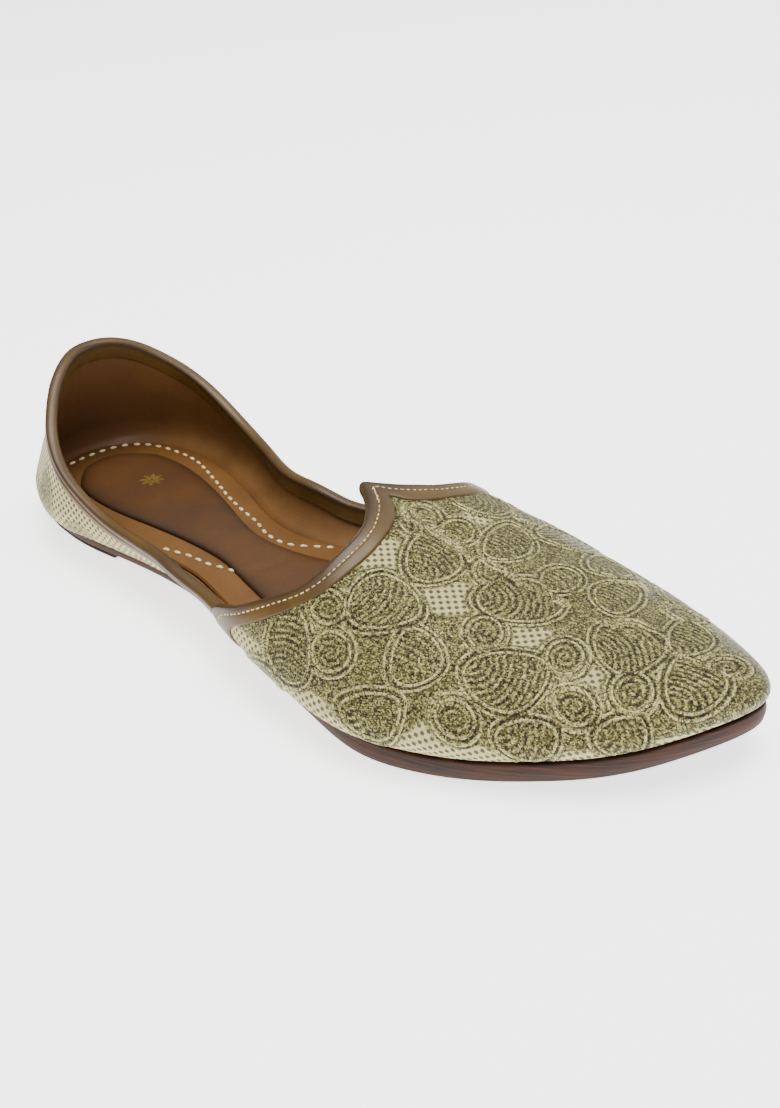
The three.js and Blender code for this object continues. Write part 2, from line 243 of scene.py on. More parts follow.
def spaced(path: Array, step: float) -> tuple[Array, Array]:
    """Places at equal steps along a path, and the path's direction there.

    Args:
        path: (n, 3) places along the path.
        step: wanted distance between places.

    Returns:
        The places, and unit directions of the path there.
    """
    run = arcs(path, 0)
    at = np.linspace(0, run[-1], max(int(round(run[-1] / step)), 2) + 1)
    places = np.stack([np.interp(at, run, path[:, k]) for k in range(3)], -1)
    return places, unit(np.gradient(places, axis=0))


# ---------------------------------------------------------------- the last
@dataclass(frozen=True)
class Last:
    """The form that the shoe is built on: its outline in plan and the heights of its sole.

    A station on the outline is a turn: 0 at the back of the heel, a half turn at the toe,
    positive on the inner side of the foot. The outline's rows give the share of the length, the
    centre line and the spread; the swell's rows give the length, how far the wall stands out on
    the outer and on the inner side, and the height at which it stands out most.
    """

    length: float = 287.0
    spring: float = 12.0
    spring_start: float = 195.0
    lift: float = 2.0
    waist: tuple[float, float] = (60.0, 140.0)
    thickened: float = 150.0
    sole_heel: float = 4.8
    sole_fore: float = 6.2
    filler: float = 0.9
    gap: float = 0.3
    outline: Rows = (
        (0, 0, 62), (0.06, 0, 57), (0.125, 0, 48.5), (0.25, -3, 32), (0.35, -7.5, 23.5),
        (0.43, -9.5, 26), (0.5, -8.6, 32.4), (0.6, -5.4, 43.4), (0.7, -4, 53.3),
        (0.78, -1.5, 55.5), (0.86, 3, 55.5), (0.94, 8.5, 53), (1, 17.5, 42.5),
    )
    swell: Rows = (
        (0, 3, 3, 9.5), (15, 4.5, 4.5, 9.5), (40, 8.5, 6.5, 9.5), (70, 9.3, 7, 10),
        (92, 9, 6.8, 12), (112, 9, 6.6, 16), (130, 9.9, 7.8, 18), (145, 10.2, 7.6, 17),
        (160, 10.6, 6.8, 13), (180, 9.6, 5.5, 10), (200, 7.6, 4.3, 9.5), (230, 3.5, 3, 9.5),
        (287, 1.6, 1.6, 9.5),
    )

    def turn_at(self, x: Array) -> Array:
        """Turn of the station at a length along the shoe."""
        return np.arccos(1 - 2 * np.clip(np.asarray(x, float) / self.length, 0, 1))

    def station(self, turn: Array) -> Array:
        """Length along the shoe at a turn."""
        return self.length * (1 - np.cos(turn)) / 2

    def plan(self, turn: Array) -> Array:
        """Outline in plan: the centre line plus the spread times the sine of the turn.

        Args:
            turn: turns around the outline.

        Returns:
            The places, with a last axis of two.
        """
        x = self.station(turn)
        centre, spread = (curve(self.outline, x / self.length, k) for k in (1, 2))
        return np.stack([x, centre + spread * np.sin(turn)], -1)

    def outward(self, turn: Array) -> Array:
        """Level unit vector square to the outline, from its central difference."""
        way = unit(self.plan(np.asarray(turn) + 1e-3) - self.plan(np.asarray(turn) - 1e-3))
        return np.stack([-way[..., 1], way[..., 0], np.zeros(way.shape[:-1])], -1)

    def under(self, x: Array) -> Array:
        """Underside of the outsole: the heel lift's height, then the toe spring's parabola."""
        toe = np.clip((x - self.spring_start) / (self.length - self.spring_start), 0, None)
        return self.lift * (1 - smooth(*self.waist, x)) + self.spring * toe**2

    def over(self, x: Array) -> Array:
        """Top of the outsole, which thickens from the heel to the forefoot."""
        share = smooth(self.waist[0], self.thickened, x)
        return self.under(x) + self.sole_heel + (self.sole_fore - self.sole_heel) * share

    def feather(self, x: Array) -> Array:
        """Line where the upper starts, above the filler."""
        return self.over(x) + self.filler + 2 * self.gap

    def rolled(self, x: Array, side: Array, height: Array) -> Array:
        """How far the wall stands out: the swell times q e^(1-q), q the share of its height.

        Args:
            x: places along the shoe.
            side: 0 on the outer side to 1 on the inner side.
            height: heights above the line where the upper starts.

        Returns:
            The distances outwards, in mm.
        """
        outer, inner, tall = (curve(self.swell, x, k) for k in (1, 2, 3))
        share = height / tall
        return (outer + (inner - outer) * side) * share * np.exp(1 - share)


LAST = Last()


# ---------------------------------------------------------------- placing pieces in the frame
class Bench:
    """Turns surfaces into finished objects: placed, closed, dressed and tied to the frame."""

    def __init__(self) -> None:
        """Find the frame's place from the outsole's lowest corner."""
        own = LAST.plan(np.linspace(-np.pi, np.pi, 2001)).min(0)
        corner = np.array(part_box("outsole")[0][:2]) / MM
        self.shift = np.array([*(corner - own), 0.0])

    def place(self, name: str, surface: Surface, finish: bpy.types.Material, slot: Slot,
              nodes: tuple[str, ...] = (), sharp: float = 60.0) -> bpy.types.Object:
        """Make one piece.

        Args:
            name: the piece's name.
            surface: its points and faces in the last's millimetres.
            finish: its material.
            slot: the record's slot that the finish stands for; not used.
            nodes: the CAD nodes that the piece replaces.
            sharp: edges that bend more than this many degrees stay crisp.

        Returns:
            The new object, riding on the root.
        """
        mesh = bpy.data.meshes.new(name)
        mesh.from_pydata(((surface.points + self.shift) * MM).tolist(), [], surface.faces)
        for key, value in surface.values.items():
            mesh.attributes.new(key, "FLOAT", "POINT").data.foreach_set("value", value.ravel())
        if surface.chart is not None:
            corners = np.empty(len(mesh.loops), int)
            mesh.loops.foreach_get("vertex_index", corners)
            chart = mesh.uv_layers.new(name="chart")
            chart.data.foreach_set("uv", (surface.chart[corners] * CHART_UNIT).ravel())
        work = bmesh.new()
        work.from_mesh(mesh)
        bmesh.ops.remove_doubles(work, verts=work.verts, dist=2e-6)
        bmesh.ops.dissolve_degenerate(work, edges=work.edges, dist=1e-6)
        bmesh.ops.recalc_face_normals(work, faces=work.faces)
        work.to_mesh(mesh)
        work.free()
        mesh.shade_smooth()
        mesh.set_sharp_from_angle(angle=np.radians(sharp))
        mesh.materials.append(finish)
        piece = bpy.data.objects.new(name, mesh)
        bpy.context.scene.collection.objects.link(piece)
        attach(piece, "root")
        if nodes:
            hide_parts(*nodes)
        log.info("%s: %d faces", name, len(mesh.polygons))
        return piece


# ---------------------------------------------------------------- shader helpers
def opaque(value: object) -> object:
    """A plain colour with a full alpha, and anything else as it is."""
    return (*value, 1.0) if isinstance(value, tuple) else value


class Graph:
    """Adds and links nodes in one shader tree."""

    def __init__(self, tree: bpy.types.NodeTree) -> None:
        """Work on this tree."""
        self.tree = tree

    def add(self, kind: str, inputs: dict, **settings: object) -> bpy.types.Node:
        """A new node; each input is a socket to link or a value to set.

        Args:
            kind: the node type, without its first words.
            inputs: a socket or a value for each input, by name or number.
            **settings: the node's own settings.

        Returns:
            The node.
        """
        node = self.tree.nodes.new("ShaderNode" + kind)
        for name, value in settings.items():
            setattr(node, name, value)
        self.feed(node, inputs)
        return node

    def feed(self, node: bpy.types.Node, inputs: dict) -> None:
        """Link or set a node's inputs.

        Args:
            node: the node.
            inputs: a socket to link or a value to set, by name or number.
        """
        for name, value in inputs.items():
            if isinstance(value, Socket):
                self.tree.links.new(value, node.inputs[name])
            else:
                node.inputs[name].default_value = value

    def use(self, group: bpy.types.NodeTree, inputs: dict) -> bpy.types.Node:
        """A shared effect placed in this tree."""
        return self.add("Group", inputs, node_tree=group)

    def math(self, operation: str, *values: object) -> Socket:
        """Result of a Math node."""
        return self.add("Math", dict(enumerate(values)), operation=operation).outputs[0]

    def mix(self, share: object, low: object, high: object) -> Socket:
        """Colour between low and high; a Mix node's colours are its inputs 6 and 7."""
        node = self.add("Mix", {0: share, 6: opaque(low), 7: opaque(high)}, data_type="RGBA")
        return node.outputs[2]

    def scaled(self, given: dict[str, Socket]) -> Socket:
        """An effect's given vector times its given scale."""
        inputs = {0: given["Vector"], "Scale": given["Scale"]}
        return self.add("VectorMath", inputs, operation="SCALE").outputs[0]

    def bump(self, height: Socket, strength: float, distance: float) -> Socket:
        """Normal bent by a height; the distance is in metres."""
        inputs = {"Height": height, "Strength": strength, "Distance": distance}
        return self.add("Bump", inputs).outputs[0]

    def remap(self, value: Socket, start: float, end: float, low: float, high: float) -> Socket:
        """Value moved from one range to another and held inside it."""
        ends = {"Value": value, "From Min": start, "From Max": end, "To Min": low, "To Max": high}
        return self.add("MapRange", ends).outputs["Result"]

    def attribute(self, name: str) -> Socket:
        """A value carried by the mesh's points."""
        return self.add("Attribute", {}, attribute_name=name).outputs["Fac"]

    def spot(self) -> Socket:
        """Object coordinates, in metres."""
        return self.add("TexCoord", {}).outputs["Object"]

    def chart(self) -> Socket:
        """The cloth's own chart, where one unit is 100 mm."""
        return self.add("UVMap", {}, uv_map="chart").outputs["UV"]


def effect(name: str, inputs: dict[str, Optional[float]], outputs: tuple[str, ...],
           fill: Callable[[Graph, dict[str, Socket]], tuple[Socket, ...]]) -> bpy.types.NodeTree:
    """A shared shader node group.

    Args:
        name: the effect's name.
        inputs: each input's default value, or None for a vector.
        outputs: names of the values that it puts out.
        fill: builds the nodes and returns one socket for each output.

    Returns:
        The node group.
    """
    tree = bpy.data.node_groups.new(name, "ShaderNodeTree")
    for key, value in inputs.items():
        kind = "NodeSocketVector" if value is None else "NodeSocketFloat"
        socket = tree.interface.new_socket(key, in_out="INPUT", socket_type=kind)
        if value is not None:
            socket.default_value = value
    for key in outputs:
        tree.interface.new_socket(key, in_out="OUTPUT", socket_type="NodeSocketFloat")
    source = tree.nodes.new("NodeGroupInput")
    sink = tree.nodes.new("NodeGroupOutput")
    results = fill(Graph(tree), {key: source.outputs[key] for key in inputs})
    for key, result in zip(outputs, results):
        tree.links.new(result, sink.inputs[key])
    return tree


def fill_grain(graph: Graph, given: dict[str, Socket]) -> tuple[Socket, ...]:
    """Leather grain: cells for the pores plus fine noise, and a broad mottle of the colour.

    Args:
        graph: the group's tree.
        given: the group's inputs, Vector and Scale.

    Returns:
        Height and mottle.
    """
    spot = graph.scaled(given)
    cells = graph.add("TexVoronoi", {"Vector": spot, "Scale": 1.0}).outputs["Distance"]
    fine = graph.add("TexNoise", {"Vector": spot, "Scale": 0.6, "Detail": 4.0}).outputs["Fac"]
    broad = graph.add("TexNoise", {"Vector": spot, "Scale": 0.035, "Detail": 5.0}).outputs["Fac"]
    height = graph.math("ADD", graph.math("MULTIPLY", cells, 0.7), fine)
    return height, graph.remap(broad, 0.3, 0.7, 0, 1)


def fill_fleck(graph: Graph, given: dict[str, Socket]) -> tuple[Socket, ...]:
    """Metal thread seen close: small cells, each with its own shade and a rounded top.

    Args:
        graph: the group's tree.
        given: the group's inputs, Vector and Scale.

    Returns:
        Shade and height.
    """
    spot = graph.scaled(given)
    cells = graph.add("TexVoronoi", {"Vector": spot, "Scale": 1.0, "Randomness": 0.85})
    shade = graph.add("SeparateColor", {"Color": cells.outputs["Color"]}).outputs[0]
    return shade, graph.remap(cells.outputs["Distance"], 0.15, 0.65, 1, 0)


def fill_lattice(graph: Graph, given: dict[str, Socket]) -> tuple[Socket, ...]:
    """Centred lattice of small dots: where cos(x) cos(y) comes near 1.

    Args:
        graph: the group's tree.
        given: the group's inputs, Vector and Pitch.

    Returns:
        The dots, 0 on the cloth to 1 on a dot.
    """
    parts = graph.add("SeparateXYZ", {"Vector": given["Vector"]})
    waves = []
    for axis in ("X", "Y"):
        phase = graph.math("DIVIDE", parts.outputs[axis], given["Pitch"])
        waves.append(graph.math("COSINE", graph.math("MULTIPLY", phase, 2 * np.pi)))
    both = graph.math("MULTIPLY", *waves)
    return (graph.remap(both, 0.1, 0.42, 0, 1),)


@dataclass(frozen=True)
class Effects:
    """The shared effects, built once."""

    grain: bpy.types.NodeTree
    fleck: bpy.types.NodeTree
    lattice: bpy.types.NodeTree

    @staticmethod
    def build() -> "Effects":
        """Make the node groups.

        Returns:
            The three effects.
        """
        scaled = {"Vector": None, "Scale": 1000.0}
        return Effects(
            effect("leather_grain", scaled, ("Height", "Mottle"), fill_grain),
            effect("thread_fleck", scaled, ("Shade", "Height"), fill_fleck),
            effect("dot_lattice", {"Vector": None, "Pitch": 0.02}, ("Dots",), fill_lattice),
        )


def principled(name: str) -> tuple[bpy.types.Material, Graph, bpy.types.Node]:
    """A new material with its tree and its Principled shader.

    Args:
        name: the material's name.

    Returns:
        The material, its tree and its shader.
    """
    material = bpy.data.materials.new(name)
    material.use_nodes = True
    return material, Graph(material.node_tree), material.node_tree.nodes["Principled BSDF"]


def put(shader: bpy.types.Node, graph: Graph, values: dict[str, object]) -> None:
    """Link or set the shader's inputs; plain colours get a full alpha."""
    graph.feed(shader, {name: opaque(value) for name, value in values.items()})


# ---------------------------------------------------------------- finishes
@dataclass(frozen=True)
class Leather:
    """Dyed leather: two shades in a broad mottle, a third where the mesh says so, fine grain.

    Worn is how much rougher the darker mottle is, and gleam the strength of its reflections.
    """

    name: str
    light: Colour
    dark: Colour
    shade: Colour
    roughness: float = 0.45
    coat: float = 0.15
    pores: float = 1400.0
    relief: float = 0.12
    worn: float = 0.12
    coat_roughness: float = 0.25
    gleam: float = 0.3

    def make(self, effects: Effects) -> bpy.types.Material:
        """Build the material; the mesh's shade value, 0 to 1, brings in the third colour, which is
        painted shade on the footbed and the heel's lining and a darker rim and outer foot on the
        bindings.

        Args:
            effects: the shared effects.

        Returns:
            The material.
        """
        material, graph, shader = principled(self.name)
        grain = graph.use(effects.grain, {"Vector": graph.spot(), "Scale": self.pores})
        skin = graph.mix(grain.outputs["Mottle"], self.light, self.dark)
        # the third colour: painted shade where a piece's shade value asks for it, a darker rim on
        # the bindings
        colour = graph.mix(graph.attribute("shade"), skin, self.shade)
        bump = graph.bump(grain.outputs["Height"], self.relief, 0.0003)
        rough = graph.remap(grain.outputs["Mottle"], 0, 1, self.roughness,
                            self.roughness + self.worn)
        put(shader, graph, {"Base Color": colour, "Roughness": rough, "Normal": bump,
                            "Coat Weight": self.coat, "Coat Roughness": self.coat_roughness,
                            "Specular IOR Level": self.gleam})
        return material


@dataclass(frozen=True)
class SoleEdge:
    """Waxed edge of a built-up sole: fine streaks that run along it.

    The pair is the roughness of its dark and of its light streaks.
    """

    name: str
    light: Colour
    dark: Colour
    roughness: tuple[float, float] = (0.55, 0.7)
    streaks: tuple[float, float, float] = (60.0, 60.0, 1500.0)
    pores: float = 900.0
    relief: float = 0.25
    gleam: float = 0.25

    def make(self, effects: Effects) -> bpy.types.Material:
        """Build the material from noise stretched along the edge and a little grain.

        Args:
            effects: the shared effects.

        Returns:
            The material.
        """
        material, graph, shader = principled(self.name)
        spot = graph.spot()
        stretch = graph.add("Mapping", {"Vector": spot, "Scale": self.streaks})
        streak = graph.add("TexNoise", {"Vector": stretch.outputs[0], "Scale": 1.0, "Detail": 4.0})
        grain = graph.use(effects.grain, {"Vector": spot, "Scale": self.pores})
        share = graph.remap(streak.outputs["Fac"], 0.35, 0.65, 0, 1)
        colour = graph.mix(share, self.dark, self.light)
        height = graph.math("ADD", share, graph.math("MULTIPLY", grain.outputs["Height"], 0.3))
        put(shader, graph, {"Base Color": colour,
                            "Normal": graph.bump(height, self.relief, 0.0003),
                            "Roughness": graph.remap(share, 0, 1, *self.roughness),
                            "Specular IOR Level": self.gleam})
        return material


@dataclass(frozen=True)
class Brocade:
    """Ivory cloth with woven dots, and metal thread where the mesh's cover value says so.

    Pairs give a value on the cloth and on the thread, or in a row's groove and on its crest; the
    painted row shading darkens each groove as painted shade and lightens each crest as a painted
    highlight.
    Sizes of weave and thread are numbers of cells in one unit of the chart.
    """

    name: str = "brocade"
    cloth: Colour = tint(200, 190, 134)
    cloth_low: Colour = tint(168, 157, 103)
    dot: Colour = tint(50, 46, 30)
    # bright is reached on the rows' crests (painted highlight) and in light cells, dark in the
    # grooves (painted shade) and in dark cells
    bright: Colour = tint(180, 172, 108)
    gold: Colour = tint(78, 72, 32)
    dark: Colour = tint(16, 14, 7)
    pitch: float = 0.028
    dot_strength: float = 0.9
    weave_size: float = 230.0
    thread_size: float = 250.0
    thread_contrast: float = 0.95
    painted_row_shading: tuple[float, float] = (-0.36, 0.2)
    roughness: tuple[float, float] = (0.75, 0.42)
    relief: tuple[float, float] = (0.15, 1.0)
    metal: float = 0.4

    def make(self, effects: Effects) -> bpy.types.Material:
        """Build the material from the chart, the lattice and the mesh's cover and crest.

        Args:
            effects: the shared effects.

        Returns:
            The material.
        """
        material, graph, shader = principled(self.name)
        chart = graph.chart()
        dots = graph.use(effects.lattice, {"Vector": chart, "Pitch": self.pitch}).outputs["Dots"]
        fine = graph.use(effects.fleck, {"Vector": chart, "Scale": self.weave_size})
        threads = graph.use(effects.fleck, {"Vector": chart, "Scale": self.thread_size})
        cover, crest = graph.attribute("cover"), graph.attribute("crest")
        weave = graph.mix(fine.outputs["Shade"], self.cloth, self.cloth_low)
        ground = graph.mix(graph.math("MULTIPLY", dots, self.dot_strength), weave, self.dot)
        # painted shade in the rows' grooves and a painted highlight on their crests
        rows = graph.remap(crest, 0, 1, *self.painted_row_shading)
        own = graph.math("MULTIPLY", threads.outputs["Shade"], self.thread_contrast)
        lit = graph.math("ADD", own, rows)
        base = graph.mix(graph.remap(lit, 0, 0.36, 0, 1), self.dark, self.gold)
        thread = graph.mix(graph.remap(lit, 0.42, 1.0, 0, 1), base, self.bright)
        colour = graph.mix(cover, ground, thread)
        share = graph.remap(cover, 0, 1, *self.relief)
        tall = graph.math("MULTIPLY", threads.outputs["Height"], share)
        put(shader, graph, {"Base Color": colour, "Normal": graph.bump(tall, 0.5, 0.0004),
                            "Roughness": graph.remap(cover, 0, 1, *self.roughness),
                            "Metallic": graph.math("MULTIPLY", cover, self.metal),
                            "Specular IOR Level": 0.3, "Sheen Weight": 0.05})
        return material


@dataclass(frozen=True)
class Thread:
    """Twisted thread: two shades in small cells with a rounded top."""

    name: str
    light: Colour
    dark: Colour
    metal: float = 0.0
    roughness: float = 0.55
    size: float = 1800.0

    def make(self, effects: Effects) -> bpy.types.Material:
        """Build the material.

        Args:
            effects: the shared effects.

        Returns:
            The material.
        """
        material, graph, shader = principled(self.name)
        cells = graph.use(effects.fleck, {"Vector": graph.spot(), "Scale": self.size})
        share = graph.remap(cells.outputs["Shade"], 0.2, 0.7, 0, 1)
        put(shader, graph, {"Base Color": graph.mix(share, self.dark, self.light),
                            "Normal": graph.bump(cells.outputs["Height"], 0.3, 0.0002),
                            "Roughness": self.roughness, "Metallic": self.metal})
        return material


# ---------------------------------------------------------------- sole
@dataclass(frozen=True)
class Sole:
    """Heel lift, outsole and filler: flat layers with worn edges."""

    edge_radius: float = 0.8
    bulge: float = 0.35
    outsole_inset: float = 0.3
    lift_inset: float = 1.2
    lift_length: float = 61.0
    lift_radius: float = 0.35
    filler_inset: float = 1.6
    filler_radius: float = 0.2
    filler_clear: tuple[float, float] = (0.05, 0.1)

    def layer(self, inset: float, to: float, under: Callable, over: Callable, radius: float,
              stations: int = 241) -> Surface:
        """A closed layer: a profile around its edge, joined to the middle above and below.

        The profile runs out from the middle of the underside, round the lower corner, up the
        slightly bulged edge, round the upper corner and back to the middle. Each of its points
        is a share of the way to the middle, mm in from the edge, a share of the layer's height
        and mm above that.

        Args:
            inset: how far the layer's edge is inside the last's outline.
            to: length along the shoe at which it ends.
            under: its underside's height by length along the shoe.
            over: its top's height by length along the shoe.
            radius: radius of its two corners.
            stations: how many places there are around its edge.

        Returns:
            The closed layer.
        """
        corner = np.linspace(0, np.pi / 2, 5)
        low = [(0, radius * (1 - np.sin(c)), 0, radius * (1 - np.cos(c))) for c in corner]
        high = [(0, w, 1, -z) for _, w, _, z in reversed(low)]
        middle = [(0, -self.bulge * 0.7, 0.35, 0), (0, -self.bulge, 0.5, 0),
                  (0, -self.bulge * 0.7, 0.65, 0)]
        inner = [(1, radius, 0, 0), (0.6, radius, 0, 0), (0.2, radius, 0, 0)]
        outer = [(s, w, 1, z) for s, w, _, z in reversed(inner)]
        share, inward, level, lift = np.array(inner + low + middle + high + outer).T
        end = float(LAST.turn_at(to))
        turn = np.linspace(-end, end, stations)[:, None]
        out = LAST.outward(turn)[..., :2]
        edge = LAST.plan(turn) - out * (inset + inward[None, :, None])
        centre = (edge + edge[::-1]) / 2
        flat = edge + (centre - edge) * share[None, :, None]
        low_z, high_z = under(flat[..., 0]), over(flat[..., 0])
        z = low_z + (high_z - low_z) * level + lift
        points = np.concatenate([flat, z[..., None]], -1)
        if to >= LAST.length:
            return Surface(points.reshape(-1, 3), quads(grid_ids(*points.shape[:2])).tolist())
        return self.breast(points)

    def breast(self, points: Array) -> Surface:
        """Close a layer that stops short of the toe with a flat face between its two ends.

        Args:
            points: grid of the layer's points, by station and by place on the profile.

        Returns:
            The closed layer.
        """
        ids = grid_ids(*points.shape[:2])
        ends = np.stack([ids[0], ids[-1]])
        return Surface(points.reshape(-1, 3), [*quads(ids).tolist(), *quads(ends).tolist()])

    def build(self, bench: Bench, effects: Effects) -> None:
        """Make the three layers.

        Args:
            bench: places the pieces.
            effects: the shared effects.
        """
        edge = SoleEdge("sole_edge", tint(70, 40, 25), tint(30, 17, 11)).make(effects)
        # the filler layer is real, and its near-black colour also paints the shadow in the groove
        # under the upper's overhang
        dark = Leather("filler_painted_shade", tint(34, 22, 18), tint(24, 15, 12), tint(20, 12, 10),
                       0.7, 0.0)
        lift = self.layer(self.lift_inset, self.lift_length, np.zeros_like,
                          lambda x: np.full_like(x, LAST.lift - LAST.gap), self.lift_radius)
        bench.place("sole_heel_lift", lift, edge, Slot.SOLE, ("heel_lift",))
        outsole = self.layer(self.outsole_inset, LAST.length, LAST.under, LAST.over,
                             self.edge_radius)
        bench.place("sole_outsole", outsole, edge, Slot.SOLE, ("outsole",))
        below, above = self.filler_clear
        filler = self.layer(self.filler_inset, LAST.length, lambda x: LAST.over(x) + below,
                            lambda x: LAST.feather(x) - above, self.filler_radius)
        bench.place("sole_filler", filler, dark.make(effects), Slot.FILLER, ("midsole",))


# ---------------------------------------------------------------- footbed
@dataclass(frozen=True)
class Footbed:
    """Insole, padded sock, the stitches around it and a small stamped flower.

    The crease is an arc pressed into the sock: the x and y of its centre, its radius, width and
    depth. The stamp is a place and a radius; the rows of stitches are lists of places.
    """

    thickness: float = 1.7
    inset: float = 2.5
    corner: float = 0.5
    pad_height: float = 1.6
    pad_crown: float = 0.35
    pad_start: float = 14.0
    pad_end: float = 150.0
    pad_clear: float = 13.0
    pad_lift: float = 0.12
    pad_fill: float = 0.9
    crease: tuple[float, ...] = (92.0, -6.0, 30.0, 1.1, 0.35)
    stitch: tuple[float, float, float] = (2.7, 1.5, 1.1)
    stitch_step: float = 4.6
    inner_row: Rows = (
        (6.6, -6.7), (7, 4.4), (10.5, 15.6), (20, 23), (40, 25), (59.3, 19), (72.6, 13.8),
        (84, 10.4), (94, 8), (104, 4.5), (114, 5), (126, 12.6),
    )
    outer_row: Rows = (
        (84, -24.7), (89, -23.4), (94.5, -22), (100.5, -21.8), (105.5, -20.5), (111.4, -19),
        (115.4, -18),
    )
    stamp: tuple[float, float, float] = (44.0, 2.0, 4.6)
    foil_lift: float = 0.36

    def top(self, x: Array) -> Array:
        """Height of the insole's face."""
        return LAST.feather(x) + self.thickness

    def pad(self) -> Surface:
        """The padded sock: crowned along both ways, its rounded sides pulled in at the foot.

        Across, a share s runs from -1 to 1; the lift is the pad's height times
        (1 - s^10)^(1/2), and the two ends fall in the same way.

        Returns:
            The closed pad, with a shade value that paints shade at its edge, darker there.
        """
        turn = np.linspace(0, np.pi, 121)[:, None]
        s = np.sin(np.linspace(-np.pi / 2, np.pi / 2, 61))[None, :]
        x = self.pad_start + (self.pad_end - self.pad_start) * (1 - np.cos(turn)) / 2
        at = LAST.turn_at(x)
        sides = [LAST.plan(sign * at)[..., 1] - sign * self.pad_clear for sign in (1, -1)]
        half = (sides[0] - sides[1]) / 2 * np.minimum(1, 1.7 * np.sin(turn)) ** 0.6
        middle = (sides[0] + sides[1]) / 2
        y = middle + half * s
        edge = np.sqrt(np.clip(1 - s**10, 0, 1)) * np.sqrt(np.clip(1 - np.cos(turn) ** 60, 0, 1))
        crown = self.pad_crown * (1 - s**2)
        x0, y0, radius, width, depth = self.crease
        away = np.hypot(x - x0, (y - y0) * 1.5) - radius
        crease = depth * bell(away, width) * smooth(98, 112, x)
        base = self.top(x) + self.pad_lift
        z = base + (self.pad_height * edge + (crown - crease) * edge)
        x = np.broadcast_to(x, y.shape)
        top = np.stack([x, y, z], -1)
        foot = np.stack([x, y, np.broadcast_to(base, y.shape)], -1)
        surface = shell(top, foot)
        # painted shade: the pad's edge and foot darken towards the sock's near-black third colour,
        # for the shadow in the groove around it
        shade = np.concatenate([(1 - edge).ravel() ** 0.5, np.ones(foot[..., 0].size)])
        surface.values["shade"] = np.clip(shade, 0, 1)
        return surface

    def row(self, rows: Rows) -> Surface:
        """Raised stitches along a given row.

        Args:
            rows: places in x and y that the row passes through.

        Returns:
            The stitches.
        """
        table = tuple((float(k), *pair) for k, pair in enumerate(rows))
        at = np.linspace(0, len(rows) - 1, 400)
        x, y = curve(table, at, 1), curve(table, at, 2)
        places, along = spaced(np.stack([x, y, self.top(x) + 0.15], -1), self.stitch_step)
        up = np.broadcast_to(np.array([0.0, 0.0, 1.0]), places.shape)
        return beads(places, along, up, self.stitch)

    def flower(self) -> Surface:
        """A thin eight-petalled leaf of foil: radius R (3 + cos 8t) / 4 at angle t.

        Returns:
            The closed leaf.
        """
        x0, y0, radius = self.stamp
        angle, share = np.meshgrid(np.linspace(0, 2 * np.pi, 97), np.linspace(0, 1, 5),
                                   indexing="ij")
        reach = radius * (3 + np.cos(8 * angle)) / 4 * share
        x, y = x0 + reach * np.cos(angle), y0 + reach * np.sin(angle)
        z = self.top(x) + self.pad_lift + self.pad_height + self.foil_lift
        return shell(np.stack([x, y, z + 0.05], -1), np.stack([x, y, z - 0.1], -1))

    def build(self, bench: Bench, effects: Effects) -> None:
        """Make the footbed's pieces.

        Args:
            bench: places the pieces.
            effects: the shared effects.
        """
        # the footbed leather's third colour is painted shade at the heel
        tan = Leather("footbed_leather", tint(110, 74, 30), tint(90, 58, 22), tint(58, 36, 19),
                      0.5, 0.08)
        insole = Sole().layer(self.inset, LAST.length, LAST.feather, self.top, self.corner)
        # painted shade inside the heel cup: the insole darkens towards the back of the heel
        insole.values["shade"] = 0.9 * (1 - smooth(-8, 26, insole.points[:, 0]))
        bench.place("footbed_insole", insole, tan.make(effects), Slot.INSOLE, ("insole",))
        # the sock's near-black third colour is the painted shade at the pad's edge
        sock = Leather("sock_leather", tint(84, 53, 21), tint(66, 40, 15), tint(28, 17, 9),
                       0.46, 0.12, 1100.0)
        pad = bench.place("footbed_sock", self.pad(), sock.make(effects), Slot.SOCK, ("sock_pad",))
        cream = Thread("stitch_thread", tint(226, 208, 168), tint(186, 160, 116)).make(effects)
        bench.place("footbed_stitches_inner", self.row(self.inner_row), cream, Slot.STITCH)
        bench.place("footbed_stitches_outer", self.row(self.outer_row), cream, Slot.STITCH)
        foil = Thread("foil", tint(206, 176, 96), tint(176, 142, 70), 0.9, 0.35).make(effects)
        bench.place("sock_stamp", self.flower(), foil, Slot.SOCK)


